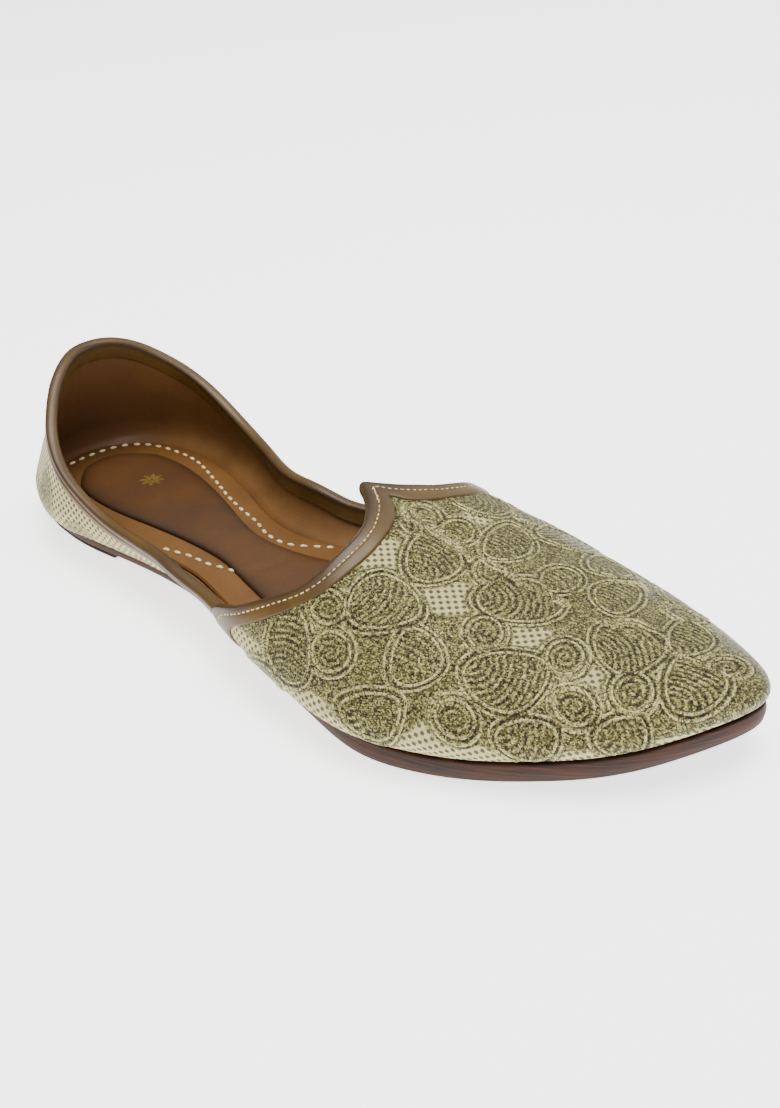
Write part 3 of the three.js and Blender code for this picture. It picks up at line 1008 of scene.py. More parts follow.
# ---------------------------------------------------------------- embroidery
@dataclass(frozen=True)
class Motif:
    """One figure on the vamp's chart: its place, half sizes, turn in degrees and hook."""

    kind: Figure
    along: float
    around: float
    long: float
    wide: float
    turn: float = 0.0
    hook: float = 0.0

    def axis(self) -> tuple[float, float]:
        """Cosine and sine of the figure's turn."""
        return np.cos(np.radians(self.turn)), np.sin(np.radians(self.turn))

    def narrowing(self, p: Array) -> Array:
        """How many times slimmer a hooked figure is: 1 at its middle and more at its tip."""
        return 1 + TAPER * np.abs(self.hook) * np.clip(p, 0, None)

    def field(self, x: Array, s: Array) -> tuple[Array, Array]:
        """Distance outside the figure's outline, and its own phase, by which its rows run.

        With rho the length of the place measured in the figure's own half sizes, the distance
        is (rho - 1) times the local radius outside and times the lesser half size inside. A
        hook bends the axis by its square. A curl's phase is the distance less a pitch for each
        turn around it, and inside a body it is the distance from the focus of its fan.

        Args:
            x: places along the shoe.
            s: places around from the ridge.

        Returns:
            The distance and the phase in mm.
        """
        c, w = self.axis()
        p = ((x - self.along) * c + (s - self.around) * w) / self.long
        r = ((s - self.around) * c - (x - self.along) * w) / self.wide
        r = (r - self.hook * p**2) * self.narrowing(p)
        rho = np.hypot(p, r) + 1e-6
        reach = np.hypot(p * self.long, r * self.wide) / rho
        away = (rho - 1) * np.where(rho > 1, reach, min(self.long, self.wide))
        if self.kind is Figure.CURL:
            return away, away - ROW_PITCH * np.arctan2(r, p) / (2 * np.pi)
        fan = np.hypot((p - FAN[0]) * self.long, (r - FAN[1]) * self.wide)
        return away, np.where(away < 0, fan, away)

    def ring(self, away: float, count: int) -> tuple[Array, Array]:
        """Chart places once around the figure, a distance outside its outline.

        It is the ellipse of the half sizes, grown by the distance, with the hook and the
        narrowing of field undone.

        Args:
            away: distance outside the outline.
            count: number of places.

        Returns:
            Places along and around, one for each angle.
        """
        angle = np.linspace(0, 2 * np.pi, count, endpoint=False)
        reach = np.hypot(np.cos(angle) * self.long, np.sin(angle) * self.wide)
        p, r = (1 + away / reach) * np.array([np.cos(angle), np.sin(angle)])
        r = r / self.narrowing(p) + self.hook * p**2
        c, w = self.axis()
        x = self.along + p * self.long * c - r * self.wide * w
        return x, self.around + p * self.long * w + r * self.wide * c


BODY, CURL, GROUND = Figure.BODY, Figure.CURL, Figure.GROUND


@dataclass(frozen=True)
class Embroidery:
    """The chart of the embroidery, worked from the outer side over the ridge.

    On the vamp a place is its length along the shoe and its arc from the ridge, and the margin's
    rows give the plain cloth's width above the sole. On the quarter a place is its arc from the
    back of the heel and its rise, and each figure stands on both sides.
    """

    outline: float = 3.6
    fine_pitch: float = 1.5
    relief: float = 0.42
    heel_outline: tuple[float, float] = (1.5, 2.2)
    heel_cover: float = 0.75
    heel_relief: float = 0.3
    far: float = 99.0
    margin: Rows = ((150, 20), (176, 19), (195, 15), (210, 9), (221, 12), (236, 7), (250, 4),
                    (264, 4.5), (280, 1.5), (287, 0))
    motifs: tuple[Motif, ...] = (
        Motif(BODY, 194.5, -11.5, 9, 6.6, 120, 0.25), Motif(BODY, 193.5, -33, 9, 7.6, 40, -0.3),
        Motif(BODY, 221.5, -6, 12.5, 9, 80, 0.3), Motif(BODY, 211, -42, 7.4, 5.8, 110, 0.3),
        Motif(BODY, 176.5, -59, 10, 6.6, 130, -0.25), Motif(BODY, 234, -34.5, 10, 7.8, 40, 0.25),
        Motif(BODY, 252, -4, 11.5, 8.4, 90, -0.3), Motif(BODY, 208, -62.5, 7.6, 5, 40, 0.3),
        Motif(BODY, 272, -7, 10.5, 6, 111, 0.25), Motif(BODY, 182, -2, 6, 4.4, 98),
        Motif(BODY, 203.5, 18.5, 9.5, 5.2, 107, 0.3), Motif(BODY, 223, 13.5, 6, 4, 100),
        Motif(BODY, 237.5, 18, 8.8, 4.8, 105, -0.25), Motif(BODY, 246, -46, 7, 4.4, 36, 0.2),
        Motif(BODY, 262, 13, 9, 4.6, 110, 0.2), Motif(BODY, 168, -74, 7, 4.5, 20, 0.2),
        Motif(BODY, 186, 31, 8.5, 6, 70, 0.25), Motif(BODY, 265.5, -32, 5.6, 3.8, 60, 0.2),
        Motif(CURL, 208, -4.5, 5, 3.4, 118), Motif(CURL, 182, -43.5, 4.2, 3.8),
        Motif(CURL, 221, -25, 4.6, 3.6, 120), Motif(CURL, 190, -53.5, 5, 4.6),
        Motif(CURL, 242, -19.5, 5, 3.7, 118), Motif(CURL, 261.5, -19.3, 5.4, 4.1, 111),
        Motif(CURL, 227.5, -50.6, 4.4, 3.8), Motif(CURL, 252, -31.5, 4.3, 3.9),
        Motif(CURL, 180.5, 10.5, 3.6, 2.6), Motif(CURL, 191.5, 10.5, 5, 3.4, 110),
        Motif(CURL, 250, 4.5, 3.4, 2.8), Motif(CURL, 275, 5, 4, 2.8, 90),
        Motif(BODY, 190, 52, 9, 6.6, 130, 0.3), Motif(BODY, 210, 40, 9.5, 7, 40, -0.3),
        Motif(BODY, 226, 34, 7, 5, 110, 0.3), Motif(BODY, 208, 58, 8, 5.4, 150, 0.25),
        Motif(BODY, 230, 51, 7.5, 5, 30, 0.25), Motif(BODY, 248, 36, 7, 4.6, 140, 0.2),
        Motif(BODY, 174, 58, 8, 5.6, 60, -0.25), Motif(CURL, 196, 39, 4.4, 3.8),
        Motif(CURL, 219, 49, 4.6, 3.8), Motif(CURL, 178, 44, 4.4, 3.8),
        Motif(CURL, 240, 45, 4.2, 3.6), Motif(CURL, 254, 25, 4.4, 3.6),
    )
    heel_motifs: tuple[Motif, ...] = (
        Motif(BODY, 58, 17, 8.5, 6.8, 70, 0.3), Motif(CURL, 43, 10, 4.6, 4),
        Motif(BODY, 80, 10, 8, 4.6, 165, 0.25), Motif(CURL, 96, 8, 4, 3.2),
        Motif(BODY, 24, 22, 9, 7, 60, 0.3), Motif(CURL, 9, 12, 4.5, 4),
        Motif(BODY, 0, 35, 8, 6, 90, 0.2), Motif(BODY, 112, 8, 7.5, 4, 165, 0.25),
    )
    windows: tuple[Motif, ...] = (
        Motif(GROUND, 184, -20.5, 9, 6, 48), Motif(GROUND, 207, -20.5, 9, 6.4, 48),
        Motif(GROUND, 230.5, -20.8, 8.6, 6, 42), Motif(GROUND, 251, -21.5, 7.4, 6.2, 51),
        Motif(GROUND, 225, -57.5, 8, 4.4, 35), Motif(GROUND, 172, -43, 6, 5, 40),
        Motif(GROUND, 190, 22, 7, 4, 100), Motif(GROUND, 199, 48, 7, 5, 60),
        Motif(GROUND, 236, 30, 6, 4.5, 120), Motif(GROUND, 218, 62, 7, 4, 150),
    )

    def heel(self, run: Array, rise: Array, x: Array) -> dict[str, Array]:
        """The quarter's fainter figures: one bold row around rows that fill them.

        Args:
            run: arcs from the back of the heel.
            rise: arcs up from the sole.
            x: places along the shoe.

        Returns:
            The same values as read.
        """
        away, phase = np.full(run.shape, self.far), np.zeros(run.shape)
        for motif in self.heel_motifs:
            for side in (-1, 1):
                own, rows = motif.field(side * run, rise)
                nearer = own < away
                away, phase = np.where(nearer, own, away), np.where(nearer, rows, phase)
        bold = smooth(-0.3, 0.3, away) * (1 - smooth(*self.heel_outline, away))
        inside = 1 - smooth(-0.4, 0.2, away)
        # crest lifts the rows and, in the brocade's colour, paints shade in their grooves and a
        # highlight on their crests
        crest = bold + inside * ridges(phase, ROW_PITCH)
        faint = self.heel_cover * np.clip(bold + inside, 0, 1) * (1 - smooth(120, 150, x))
        return {"cover": faint, "crest": crest, "height": self.heel_relief * faint * crest}

    def cords(self, count: int = 84) -> tuple[Array, Array, Array]:
        """Two rings of cord around each figure, on the crests of its bold rows.

        Args:
            count: places in each ring.

        Returns:
            Chart places along and around, one row for each ring, and the share, 0 to 1, by
            which each place is clear of the other figures.
        """
        rings, clear = [], []
        for motif in self.motifs:
            for away in (self.outline / 4, 3 * self.outline / 4):
                x, s = motif.ring(away, count)
                others = [other.field(x, s)[0] for other in self.motifs if other is not motif]
                rings.append((x, s))
                clear.append(smooth(away - 0.5, away + 0.3, np.min(others, axis=0)))
        along, around = np.array(rings).transpose(1, 0, 2)
        return along, around, np.array(clear)

    def read(self, x: Array, s: Array, to_edge: Array) -> dict[str, Array]:
        """Work the chart at many places at once.

        The nearest figure owns a place. Its own rows fill it, two bold rows stand just outside
        it, and finer echo rows fill the rest.

        Args:
            x: places along the shoe.
            s: places around from the ridge.
            to_edge: distance from the foot of the cloth.

        Returns:
            cover (0 cloth, 1 thread), crest (0 groove, 1 top of a row) and height in mm.
        """
        away, phase = np.full(x.shape, self.far), np.zeros(x.shape)
        for motif in self.motifs:
            own, rows = motif.field(x, s)
            nearer = own < away
            away, phase = np.where(nearer, own, away), np.where(nearer, rows, phase)
        window = np.full(x.shape, self.far)
        for motif in self.windows:
            window = np.minimum(window, motif.field(x, s)[0])
        margin = curve(self.margin, x, 1)
        plain = np.maximum(1 - smooth(-0.6, 0.2, window), 1 - smooth(-0.4, 0.4, to_edge - margin))
        plain = plain * smooth(self.outline, self.outline + 0.5, away)
        inside = 1 - smooth(-0.2, 0.2, away)
        bold = smooth(-0.2, 0.3, away) * (1 - smooth(self.outline - 0.2, self.outline + 0.4, away))
        fill = np.clip(1 - inside - bold, 0, 1)
        crest = (bold * ridges(phase, self.outline / 2) + inside * ridges(phase, ROW_PITCH)
                 + fill * (0.25 + 0.5 * ridges(phase, self.fine_pitch)))
        cover = 1 - plain
        strength = bold + 0.62 * inside + 0.4 * fill
        fade = (1 - smooth(281, 286, x)) * smooth(0.2, 1.5, to_edge)
        height = cover * self.relief * (0.3 + 0.7 * crest * strength + 0.2 * bold) * fade
        # only the colour reads this: the fine rows between figures get less painted groove shade
        # and crest highlight
        crest = np.where(bold + inside > 0.5, crest, 0.35 + 0.4 * crest)
        return {"cover": cover, "crest": crest, "height": height}


# ---------------------------------------------------------------- upper
@dataclass(frozen=True)
class Upper:
    """Embroidered vamp and plain quarter over a leather lining.

    The top line's rows give the length, its height on the outer and on the inner side, and its
    lean outwards on each. The vamp's give the length, the ridge's height, the section's fullness
    and the ridge's skew. The throat's give the turn, and how far along the shoe the edge and the
    foot of its band are. The counter is the stiffener inside the heel: a slight step that ends
    between two heights and between two lengths.
    """

    wall: float = 2.4
    quarter_wall: float = 2.2
    cloth: float = 1.1
    lining_clear: float = 0.1
    quarter_end: float = 158.0
    under_vamp: tuple[float, float] = (149.0, 155.0)
    tuck: float = 1.2
    tucked: tuple[float, float] = (108.0, 136.0)
    heel_ease: float = 0.1
    eased: tuple[float, float] = (20.0, 60.0)
    counter: float = 0.5
    counter_top: tuple[float, float] = (13.2, 14.6)
    counter_end: tuple[float, float] = (48.0, 62.0)
    # painted shade inside the heel: how much darker the lining is painted at the back, and where
    # that ends
    heel_painted_shade: float = 0.85
    heel_painted_shade_end: float = 34.0
    first_section: float = 141.0
    cord_end: float = 283.5
    cord_sunk: float = 0.75
    cord_rise: float = 0.98
    cord_radius: float = 0.46
    cord_sides: int = 6
    top_line: Rows = (
        (0, 57.7, 57.7, -13, -13), (3, 57.6, 57.8, -13.7, -12), (8, 57, 58, -14, -10),
        (20, 52, 53, -7.7, -4.5), (32, 44.8, 45.3, -1.8, -1), (46, 36, 36.5, 1.5, 0.5),
        (60, 29, 28.4, 2.2, 1.5), (75, 24.5, 24.4, 2.6, 1.5), (92, 23.3, 24.9, 3.8, 0.5),
        (112, 22.8, 25.4, 3.6, 0), (130, 20.3, 21.8, 0.8, 0), (160, 20, 20.2, 0, 0),
    )
    vamp: Rows = (
        (105, 68, 3.4, 0), (125, 68, 3.3, 0), (145, 68, 3.1, 1), (165, 67.5, 2.9, 3),
        (190, 64, 2.5, 4.5), (220, 60, 2.3, 5), (255, 56.5, 2.15, 3), (287, 55, 2.1, 0),
    )
    throat: Rows = (
        (0, 143.5, 151.5), (0.08, 142.4, 151), (0.155, 142.3, 152.5), (0.295, 153.4, 161.6),
        (0.46, 162.4, 169.2), (0.65, 170.3, 175.4), (0.82, 173.8, 178.9), (1.03, 175, 180.8),
        (1.2, 175, 181.2), (1.34, 173.6, 180.1), (1.43, 171, 178.7), (1.5, 168, 176.6),
        (1.55, 164, 173.6), (np.pi / 2, 160.7, 169.4),
    )
    along_count: int = 352
    around_count: int = 256
    ring_count: int = 640
    rise_count: int = 80
    coarser: int = 4

    def vamp_face(self, x: Array, turn: Array) -> Array:
        """Outer face of the vamp: a superellipse at each station, rolled out at its foot.

        Across the section the width is |cos|^p and the height |sin|^p of the turn, p being two
        over the fullness; the ridge leans over by the skew.

        Args:
            x: places along the shoe.
            turn: turns over the ridge, 0 at the outer foot and a half turn at the inner one.

        Returns:
            The places, with a last axis of three.
        """
        x, turn = np.broadcast_arrays(np.asarray(x, float), np.asarray(turn, float))
        at = LAST.turn_at(x)
        half = curve(LAST.outline, x / LAST.length, 2) * np.sin(at)
        centre = curve(LAST.outline, x / LAST.length, 1)
        power = 2 / curve(self.vamp, x, 2)
        across = -np.sign(np.cos(turn)) * np.abs(np.cos(turn)) ** power
        rise = np.abs(np.sin(turn)) ** power
        height = curve(self.vamp, x, 1) * np.sqrt(np.clip(1 - x / LAST.length, 0, 1)) * rise
        side = 0.5 + 0.25 * across * (3 - across**2)
        out = LAST.outward(-at) * (1 - side[..., None]) + LAST.outward(at) * side[..., None]
        y = centre + half * across + curve(self.vamp, x, 3) * rise
        spot = np.stack([x, y, LAST.feather(x) + height], -1)
        return spot + out * LAST.rolled(x, side, height)[..., None]

    def quarter_face(self, turn: Array, level: Array) -> Array:
        """Outer face of the quarter, evened out around the heel.

        There each place is the mean of seven stations around it, weighed by a bell curve.

        Args:
            turn: turns around the last's outline.
            level: levels from 0 at the sole to 1 at the top line.

        Returns:
            The places, with a last axis of three.
        """
        step = self.heel_ease * (1 - smooth(*self.eased, LAST.station(turn)))
        weights = np.exp(-0.5 * (np.arange(-3, 4) / 1.5) ** 2)
        spots = [w * self.quarter_wall_face(turn + k * step, level)
                 for k, w in zip(range(-3, 4), weights / weights.sum())]
        return np.sum(spots, axis=0)

    def quarter_wall_face(self, turn: Array, level: Array) -> Array:
        """The quarter's face before it is evened out.

        The height is a share of the top line's, with the top line's lean by the same share. The
        wall swells near its foot, steps in above the counter and is tucked in under the vamp.

        Args:
            turn: turns around the last's outline.
            level: levels from 0 at the sole to 1 at the top line.

        Returns:
            The places, with a last axis of three.
        """
        turn, level = np.broadcast_arrays(np.asarray(turn, float), np.asarray(level, float))
        foot = LAST.plan(turn)
        x = foot[..., 0]
        side = 0.5 + 0.5 * np.tanh(4 * np.sin(turn))
        top = [curve(self.top_line, x, k) for k in (1, 2, 3, 4)]
        start = LAST.feather(x)
        share = 0.04 * smooth(*self.under_vamp, x)
        share = share + (1 - share) * level
        height = share * (top[0] + (top[1] - top[0]) * side - start)
        lean = share * (top[2] + (top[3] - top[2]) * side)
        away = LAST.rolled(x, side, height) + lean - self.tuck * smooth(*self.tucked, x)
        counter = (1 - smooth(*self.counter_top, height)) * (1 - smooth(*self.counter_end, x))
        step = self.counter * counter * smooth(0, 3, height)
        spot = np.stack([x, foot[..., 1], start + height], -1)
        return spot + LAST.outward(turn) * (away + step)[..., None]

    def throat_at(self, turn: Array, column: int) -> Array:
        """Place along the shoe of the throat's edge (1) or of its band (2)."""
        return curve(self.throat, np.minimum(turn, np.pi - turn), column)

    def even_turns(self, count: int, at: float = 205.0) -> Array:
        """Turns that cut one section of the vamp into equal lengths.

        The section is first cut finely, most finely at its two feet, where a turn moves furthest.

        Args:
            count: how many lengths, an even number.
            at: the section's place along the shoe.

        Returns:
            The turns, one more than the lengths, with the middle one on the ridge.
        """
        share = np.linspace(0, 1, 4001)
        half = np.pi / 2 * share**3 / (share**3 + (1 - share) ** 1.5)
        turn = np.concatenate([half, np.pi - half[-2::-1]])
        spots = self.vamp_face(at, turn)
        run = arcs(spots, 0)
        even = np.interp(np.linspace(0, run[-1], count + 1), run, turn)
        even[count // 2] = np.pi / 2
        return even

    def vamp_sheet(self) -> tuple[Array, Array, Array, Array]:
        """The vamp's outer face as a grid, from the throat to the toe.

        Returns:
            The places, their normals, and the chart: places along and arcs from the ridge.
        """
        turn = self.even_turns(self.around_count)
        start = LAST.turn_at(self.throat_at(turn, 1))
        share = np.linspace(0, 1, self.along_count + 1)[:, None]
        x = LAST.station(start + (np.pi - start) * share)
        sheet = self.vamp_face(x, turn)
        normal = square_to(sheet)
        normal = normal * np.sign(normal[self.along_count // 2, self.around_count // 2, 2])
        normal[:, 0] = LAST.outward(-LAST.turn_at(x[:, 0]))
        normal[:, -1] = LAST.outward(LAST.turn_at(x[:, -1]))
        normal[-1] = LAST.outward(np.pi)
        return sheet, normal, x, self.girth(x, turn)

    def sections(self, turn: Array) -> tuple[Array, Array]:
        """Sections of the vamp one millimetre apart.

        Args:
            turn: turns over the ridge.

        Returns:
            The sections' places along the shoe, and the arc from the ridge to each turn at each.
        """
        stations = np.arange(self.first_section, LAST.length + 0.5, 1.0)
        spots = self.vamp_face(stations[:, None], turn)
        run = arcs(spots, 1)
        return stations, run - run[:, len(turn) // 2][:, None]

    def girth(self, x: Array, turn: Array) -> Array:
        """Arc from the ridge around each place's own section, positive on the inner side.

        It is read between the two nearest sections.

        Args:
            x: places along the shoe, with a column for each turn.
            turn: turns over the ridge.

        Returns:
            The arcs, in the shape of x.
        """
        stations, run = self.sections(turn)
        place = np.clip(x - stations[0], 0, len(stations) - 1.001)
        low = place.astype(int)
        column = np.broadcast_to(np.arange(len(turn)), x.shape)
        part = place - low
        return run[low, column] * (1 - part) + run[low + 1, column] * part

    def on_chart(self, x: Array, arc: Array) -> tuple[Array, Array]:
        """Turn at chart places, and how far each is inside the cloth, in mm.

        The two nearest sections are mixed into one row of arcs for each place, and the turn is
        read between the two arcs on either side of the place's own.

        Args:
            x: places along the shoe.
            arc: arcs from the ridge.

        Returns:
            The turns, and the distance in from the nearest edge, below 0 outside it.
        """
        turn = self.even_turns(self.around_count)
        stations, run = self.sections(turn)
        place = np.clip(x - stations[0], 0, len(stations) - 1.001)
        low = place.astype(int)
        part = (place - low)[:, None]
        row = run[low] * (1 - part) + run[low + 1] * part
        k = np.clip((row < arc[:, None]).sum(1) - 1, 0, len(turn) - 2)
        each = np.arange(len(x))
        share = np.clip((arc - row[each, k]) / (row[each, k + 1] - row[each, k]), 0, 1)
        at = turn[k] + (turn[k + 1] - turn[k]) * share
        inside = np.minimum(arc - row[:, 0], row[:, -1] - arc)
        inside = np.minimum(inside, x - self.throat_at(at, 2) - 1.0)
        return at, np.minimum(inside, self.cord_end - x)

    def cordwork(self, chart: Embroidery) -> Surface:
        """Laid cords around the figures: rings of tube, sunk into the cloth where covered.

        A tube's centre is the cloth's face, lifted or sunk. Its section is an ellipse in the
        plane of the face's normal and of the ring's side direction.

        Args:
            chart: the embroidery.

        Returns:
            The rings that show.
        """
        along, around, clear = chart.cords()
        shape = along.shape
        x = np.clip(along.ravel(), self.first_section + 1, LAST.length - 0.5)
        turn, inside = self.on_chart(x, around.ravel())
        centre = self.vamp_face(x, turn)
        tiny = 1e-3
        across = self.vamp_face(x, turn + tiny) - self.vamp_face(x, turn - tiny)
        ahead = self.vamp_face(x + tiny, turn) - self.vamp_face(x - tiny, turn)
        normal = unit(np.cross(ahead, across)).reshape(*shape, 3)
        normal = normal * np.sign(np.median(normal[..., 2]))
        show = clear * smooth(0.0, 1.2, inside).reshape(shape)
        lift = self.cord_rise * show - self.cord_sunk
        centre = centre.reshape(*shape, 3) + normal * lift[..., None]
        run = unit(np.roll(centre, -1, axis=1) - np.roll(centre, 1, axis=1))
        side = unit(np.cross(normal, run))
        angle = np.linspace(0, 2 * np.pi, self.cord_sides, endpoint=False)[:, None]
        ring = side[:, :, None] * np.cos(angle) + normal[:, :, None] * np.sin(angle) * 0.8
        points = centre[:, :, None] + ring * self.cord_radius
        rings, count = shape
        ids = grid_ids(count, self.cord_sides)
        closed = np.pad(ids, ((0, 1), (0, 1)), mode="wrap")
        faces = quads(closed)[None] + (np.arange(rings) * ids.size)[:, None, None]
        keep = show.max(axis=1) > 0.05
        return Surface(points.reshape(-1, 3), faces[keep].reshape(-1, 4).tolist())

    def dressed(self, front: Array, back: Array, worked: dict[str, Array], chart: Array) -> Surface:
        """A wall of cloth that carries what was worked on its front; its back is plain.

        Args:
            front: grid of the outer face.
            back: the coarser grid of the inner face.
            worked: cover and crest at each place of the front.
            chart: chart places of the front.

        Returns:
            The closed wall, with its values and its chart.
        """
        k = self.coarser
        cloth = shell(front, back)
        for key in ("cover", "crest"):
            cloth.values[key] = np.concatenate([worked[key].ravel(), np.zeros(back[..., 0].size)])
        cloth.chart = np.concatenate([chart.reshape(-1, 2), chart[::k, ::k].reshape(-1, 2)])
        return cloth

    def behind(self, sheet: Array, normal: Array, depth: float) -> Array:
        """The coarser sheet at a depth behind the cloth's face."""
        return (sheet - normal * depth)[::self.coarser, ::self.coarser]

    def build(self, bench: Bench, effects: Effects, chart: Embroidery) -> None:
        """Make the cloth and the lining of the vamp and of the quarter.

        Args:
            bench: places the pieces.
            effects: the shared effects.
            chart: the embroidery.
        """
        brocade = Brocade().make(effects)
        # the lining's third colour is the painted shade inside the heel; the vamp's lining carries
        # none
        skin = Leather("lining_leather", tint(120, 84, 44), tint(98, 66, 32), tint(98, 66, 38))
        skin = skin.make(effects)
        cord = Thread("embroidery_thread", tint(188, 180, 118), tint(66, 58, 30), 0.3, 0.48, 2200.0)
        sheet, normal, x, arc = self.vamp_sheet()
        to_edge = np.minimum(arc - arc[:, :1], arc[:, -1:] - arc)
        worked = chart.read(x, arc, to_edge)
        cloth = self.dressed(sheet + normal * worked["height"][..., None],
                             self.behind(sheet, normal, self.cloth), worked,
                             np.stack([x, arc], -1))
        bench.place("vamp_cloth", cloth, brocade, Slot.BROCADE, ("upper",))
        bench.place("vamp_cordwork", self.cordwork(chart), cord.make(effects), Slot.CORD)
        inner = shell(self.behind(sheet, normal, self.cloth + self.lining_clear),
                      self.behind(sheet, normal, self.wall))
        bench.place("vamp_lining", inner, skin, Slot.LINING, ("upper",))
        self.build_quarter(bench, brocade, skin, chart)

    def build_quarter(self, bench: Bench, brocade: bpy.types.Material,
                      skin: bpy.types.Material, chart: Embroidery) -> None:
        """Make the quarter's cloth and lining.

        Args:
            bench: places the pieces.
            brocade: the cloth's material.
            skin: the lining's material.
            chart: the embroidery.
        """
        end = float(LAST.turn_at(self.quarter_end))
        back, middle = self.ring_count // 2, self.rise_count // 2
        turn = np.linspace(-end, end, self.ring_count + 1)[:, None]
        level = np.linspace(0, 1, self.rise_count + 1)[None, :] ** 1.3
        sheet = self.quarter_face(turn, level)
        outward = LAST.outward(turn)
        normal = square_to(sheet)
        normal = normal * np.sign((normal * outward).sum(-1)[back, middle])
        normal[:, 0] = outward[:, 0]
        run, rise = arcs(sheet, 0), arcs(sheet, 1)
        gauge = self.rise_count // 5
        run = np.broadcast_to((run - run[back])[:, gauge:gauge + 1], rise.shape)
        worked = chart.heel(run, rise, LAST.station(turn))
        cloth = self.dressed(sheet + normal * worked["height"][..., None],
                             self.behind(sheet, normal, self.cloth - self.lining_clear), worked,
                             np.stack([run, rise], -1))
        bench.place("quarter_cloth", cloth, brocade, Slot.BROCADE, ("upper",))
        inner = shell(self.behind(sheet, normal, self.cloth),
                      self.behind(sheet, normal, self.quarter_wall))
        # painted shade inside the heel: the quarter's lining darkens towards the back
        shade = 1 - smooth(0, self.heel_painted_shade_end, inner.points[:, 0])
        inner.values["shade"] = self.heel_painted_shade * shade
        bench.place("quarter_lining", inner, skin, Slot.LINING, ("upper",))


# ---------------------------------------------------------------- bindings
@dataclass(frozen=True)
class Binding:
    """A leather strip folded over an edge, its rolled rim and one row of stitches.

    The strip runs from hug above the wall to thick above it. Creases are shares of the flange's
    width: one under the stitches, one near the outer foot and one on the inner flange.
    """

    thick: float = 0.95
    hug: float = 0.12
    crease: float = 0.22
    stitch_share: float = 0.36
    foot_crease: float = 0.82
    inner_crease: float = 0.75
    stitch_proud: float = 0.12
    stitch_step: float = 1.9
    stitch: tuple[float, float, float] = (1.35, 0.5, 0.4)

    def profile(self, wall: float, inner: float, thick: float) -> tuple[Array, Array, Array]:
        """Cross-section as shares of the outer width, mm past the edge, and lifts off the face.

        It runs in along the outer flange, round the rim in half an ellipse and out along the
        inner flange. Both flanges thin out at their feet, and creases are bell-shaped dips.

        Args:
            wall: thickness of the wall that it folds over.
            inner: width of the inner flange.
            thick: how far it stands off the wall; creases show on a thick one only.

        Returns:
            The shares, the distances past the edge and the lifts, one for each point.
        """
        share = np.linspace(1, 0, 15)
        soft = thick * (1 - 0.55 * share**14)
        creased = thick > 0.5
        dips = self.crease * creased * (bell(share - self.stitch_share, 0.06)
                                        + 0.7 * bell(share - self.foot_crease, 0.05))
        turn = np.linspace(np.pi / 2, -np.pi / 2, 13)[1:-1]
        roll_off = -(0.3 + thick) * np.cos(turn)
        roll_lift = -wall / 2 + (wall / 2 + thick) * np.sin(turn)
        back = np.linspace(0, 1, 11)
        sunk = -wall - thick * (1 - 0.5 * back**14)
        sunk = sunk + 0.2 * creased * bell(back - self.inner_crease, 0.05)
        zero = np.zeros(len(turn))
        return (np.concatenate([share, zero, np.zeros(len(back))]),
                np.concatenate([np.zeros(len(share)), roll_off, back * inner]),
                np.concatenate([soft - dips, roll_lift, sunk]))

    def strip(self, face: Callable[[Array, Array], Array], stations: Array, width: Array,
              wall: float, inner: float) -> Surface:
        """Carry the cross-section along an edge.

        Args:
            face: outer face of the wall, by station and by mm in from the edge.
            stations: the edge's stations, as a column.
            width: the outer flange's width at each station, as a column.
            wall: thickness of the wall that it folds over.
            inner: width of the inner flange.

        Returns:
            The closed strip, with a shade value that is darker at its rim.
        """
        sheets = []
        for thick in (self.thick, self.hug):
            share, past, lift = self.profile(wall, inner, thick)
            depth = share * width + past
            sheets.append(self.lifted(face, stations, depth, lift))
        surface = shell(*sheets)
        share, past, lift = self.profile(wall, inner, self.thick)
        dark = 0.75 * bell(share * 6 + np.abs(past), 1.1) + 0.5 * (share > 0.95)
        one = np.broadcast_to(dark, sheets[0].shape[:2]).ravel()
        surface.values["shade"] = np.clip(np.concatenate([one, one]), 0, 1)
        return surface

    def lifted(self, face: Callable[[Array, Array], Array], stations: Array, depth: Array,
               lift: Array) -> Array:
        """Places at a depth in from the edge, lifted square to the wall's face there.

        The normal is the cross product of the face's two central differences.

        Args:
            face: outer face of the wall, by station and by mm in from the edge.
            stations: the edge's stations.
            depth: distances in from the edge.
            lift: distances out from the face.

        Returns:
            The places, with a last axis of three.
        """
        tiny = 1e-3
        spot = face(stations, depth)
        across = face(stations + tiny, depth) - face(stations - tiny, depth)
        inward = face(stations, depth + tiny) - face(stations, depth - tiny)
        normal = unit(np.cross(across, inward))
        outside = np.median((normal * (spot - spot.mean((0, 1)))).sum(-1))
        return spot + normal * np.sign(outside) * np.asarray(lift)[..., None]

    def stitches(self, face: Callable[[Array, Array], Array], stations: Array,
                 width: Array) -> Surface:
        """Stitches in their crease along the outer flange.

        Args:
            face: outer face of the wall, by station and by mm in from the edge.
            stations: the edge's stations, as a column.
            width: the outer flange's width at each station, as a column.

        Returns:
            The stitches.
        """
        share = self.stitch_share
        low = self.lifted(face, stations, share * width, np.zeros_like(width))[:, 0]
        high = self.lifted(face, stations, share * width, np.ones_like(width))[:, 0]
        rise = high - low
        path = low + rise * (self.thick - self.crease + self.stitch_proud)
        places, along = spaced(path, self.stitch_step)
        which = np.array([np.argmin(((path - place) ** 2).sum(1)) for place in places])
        return beads(places, along, rise[which], self.stitch)


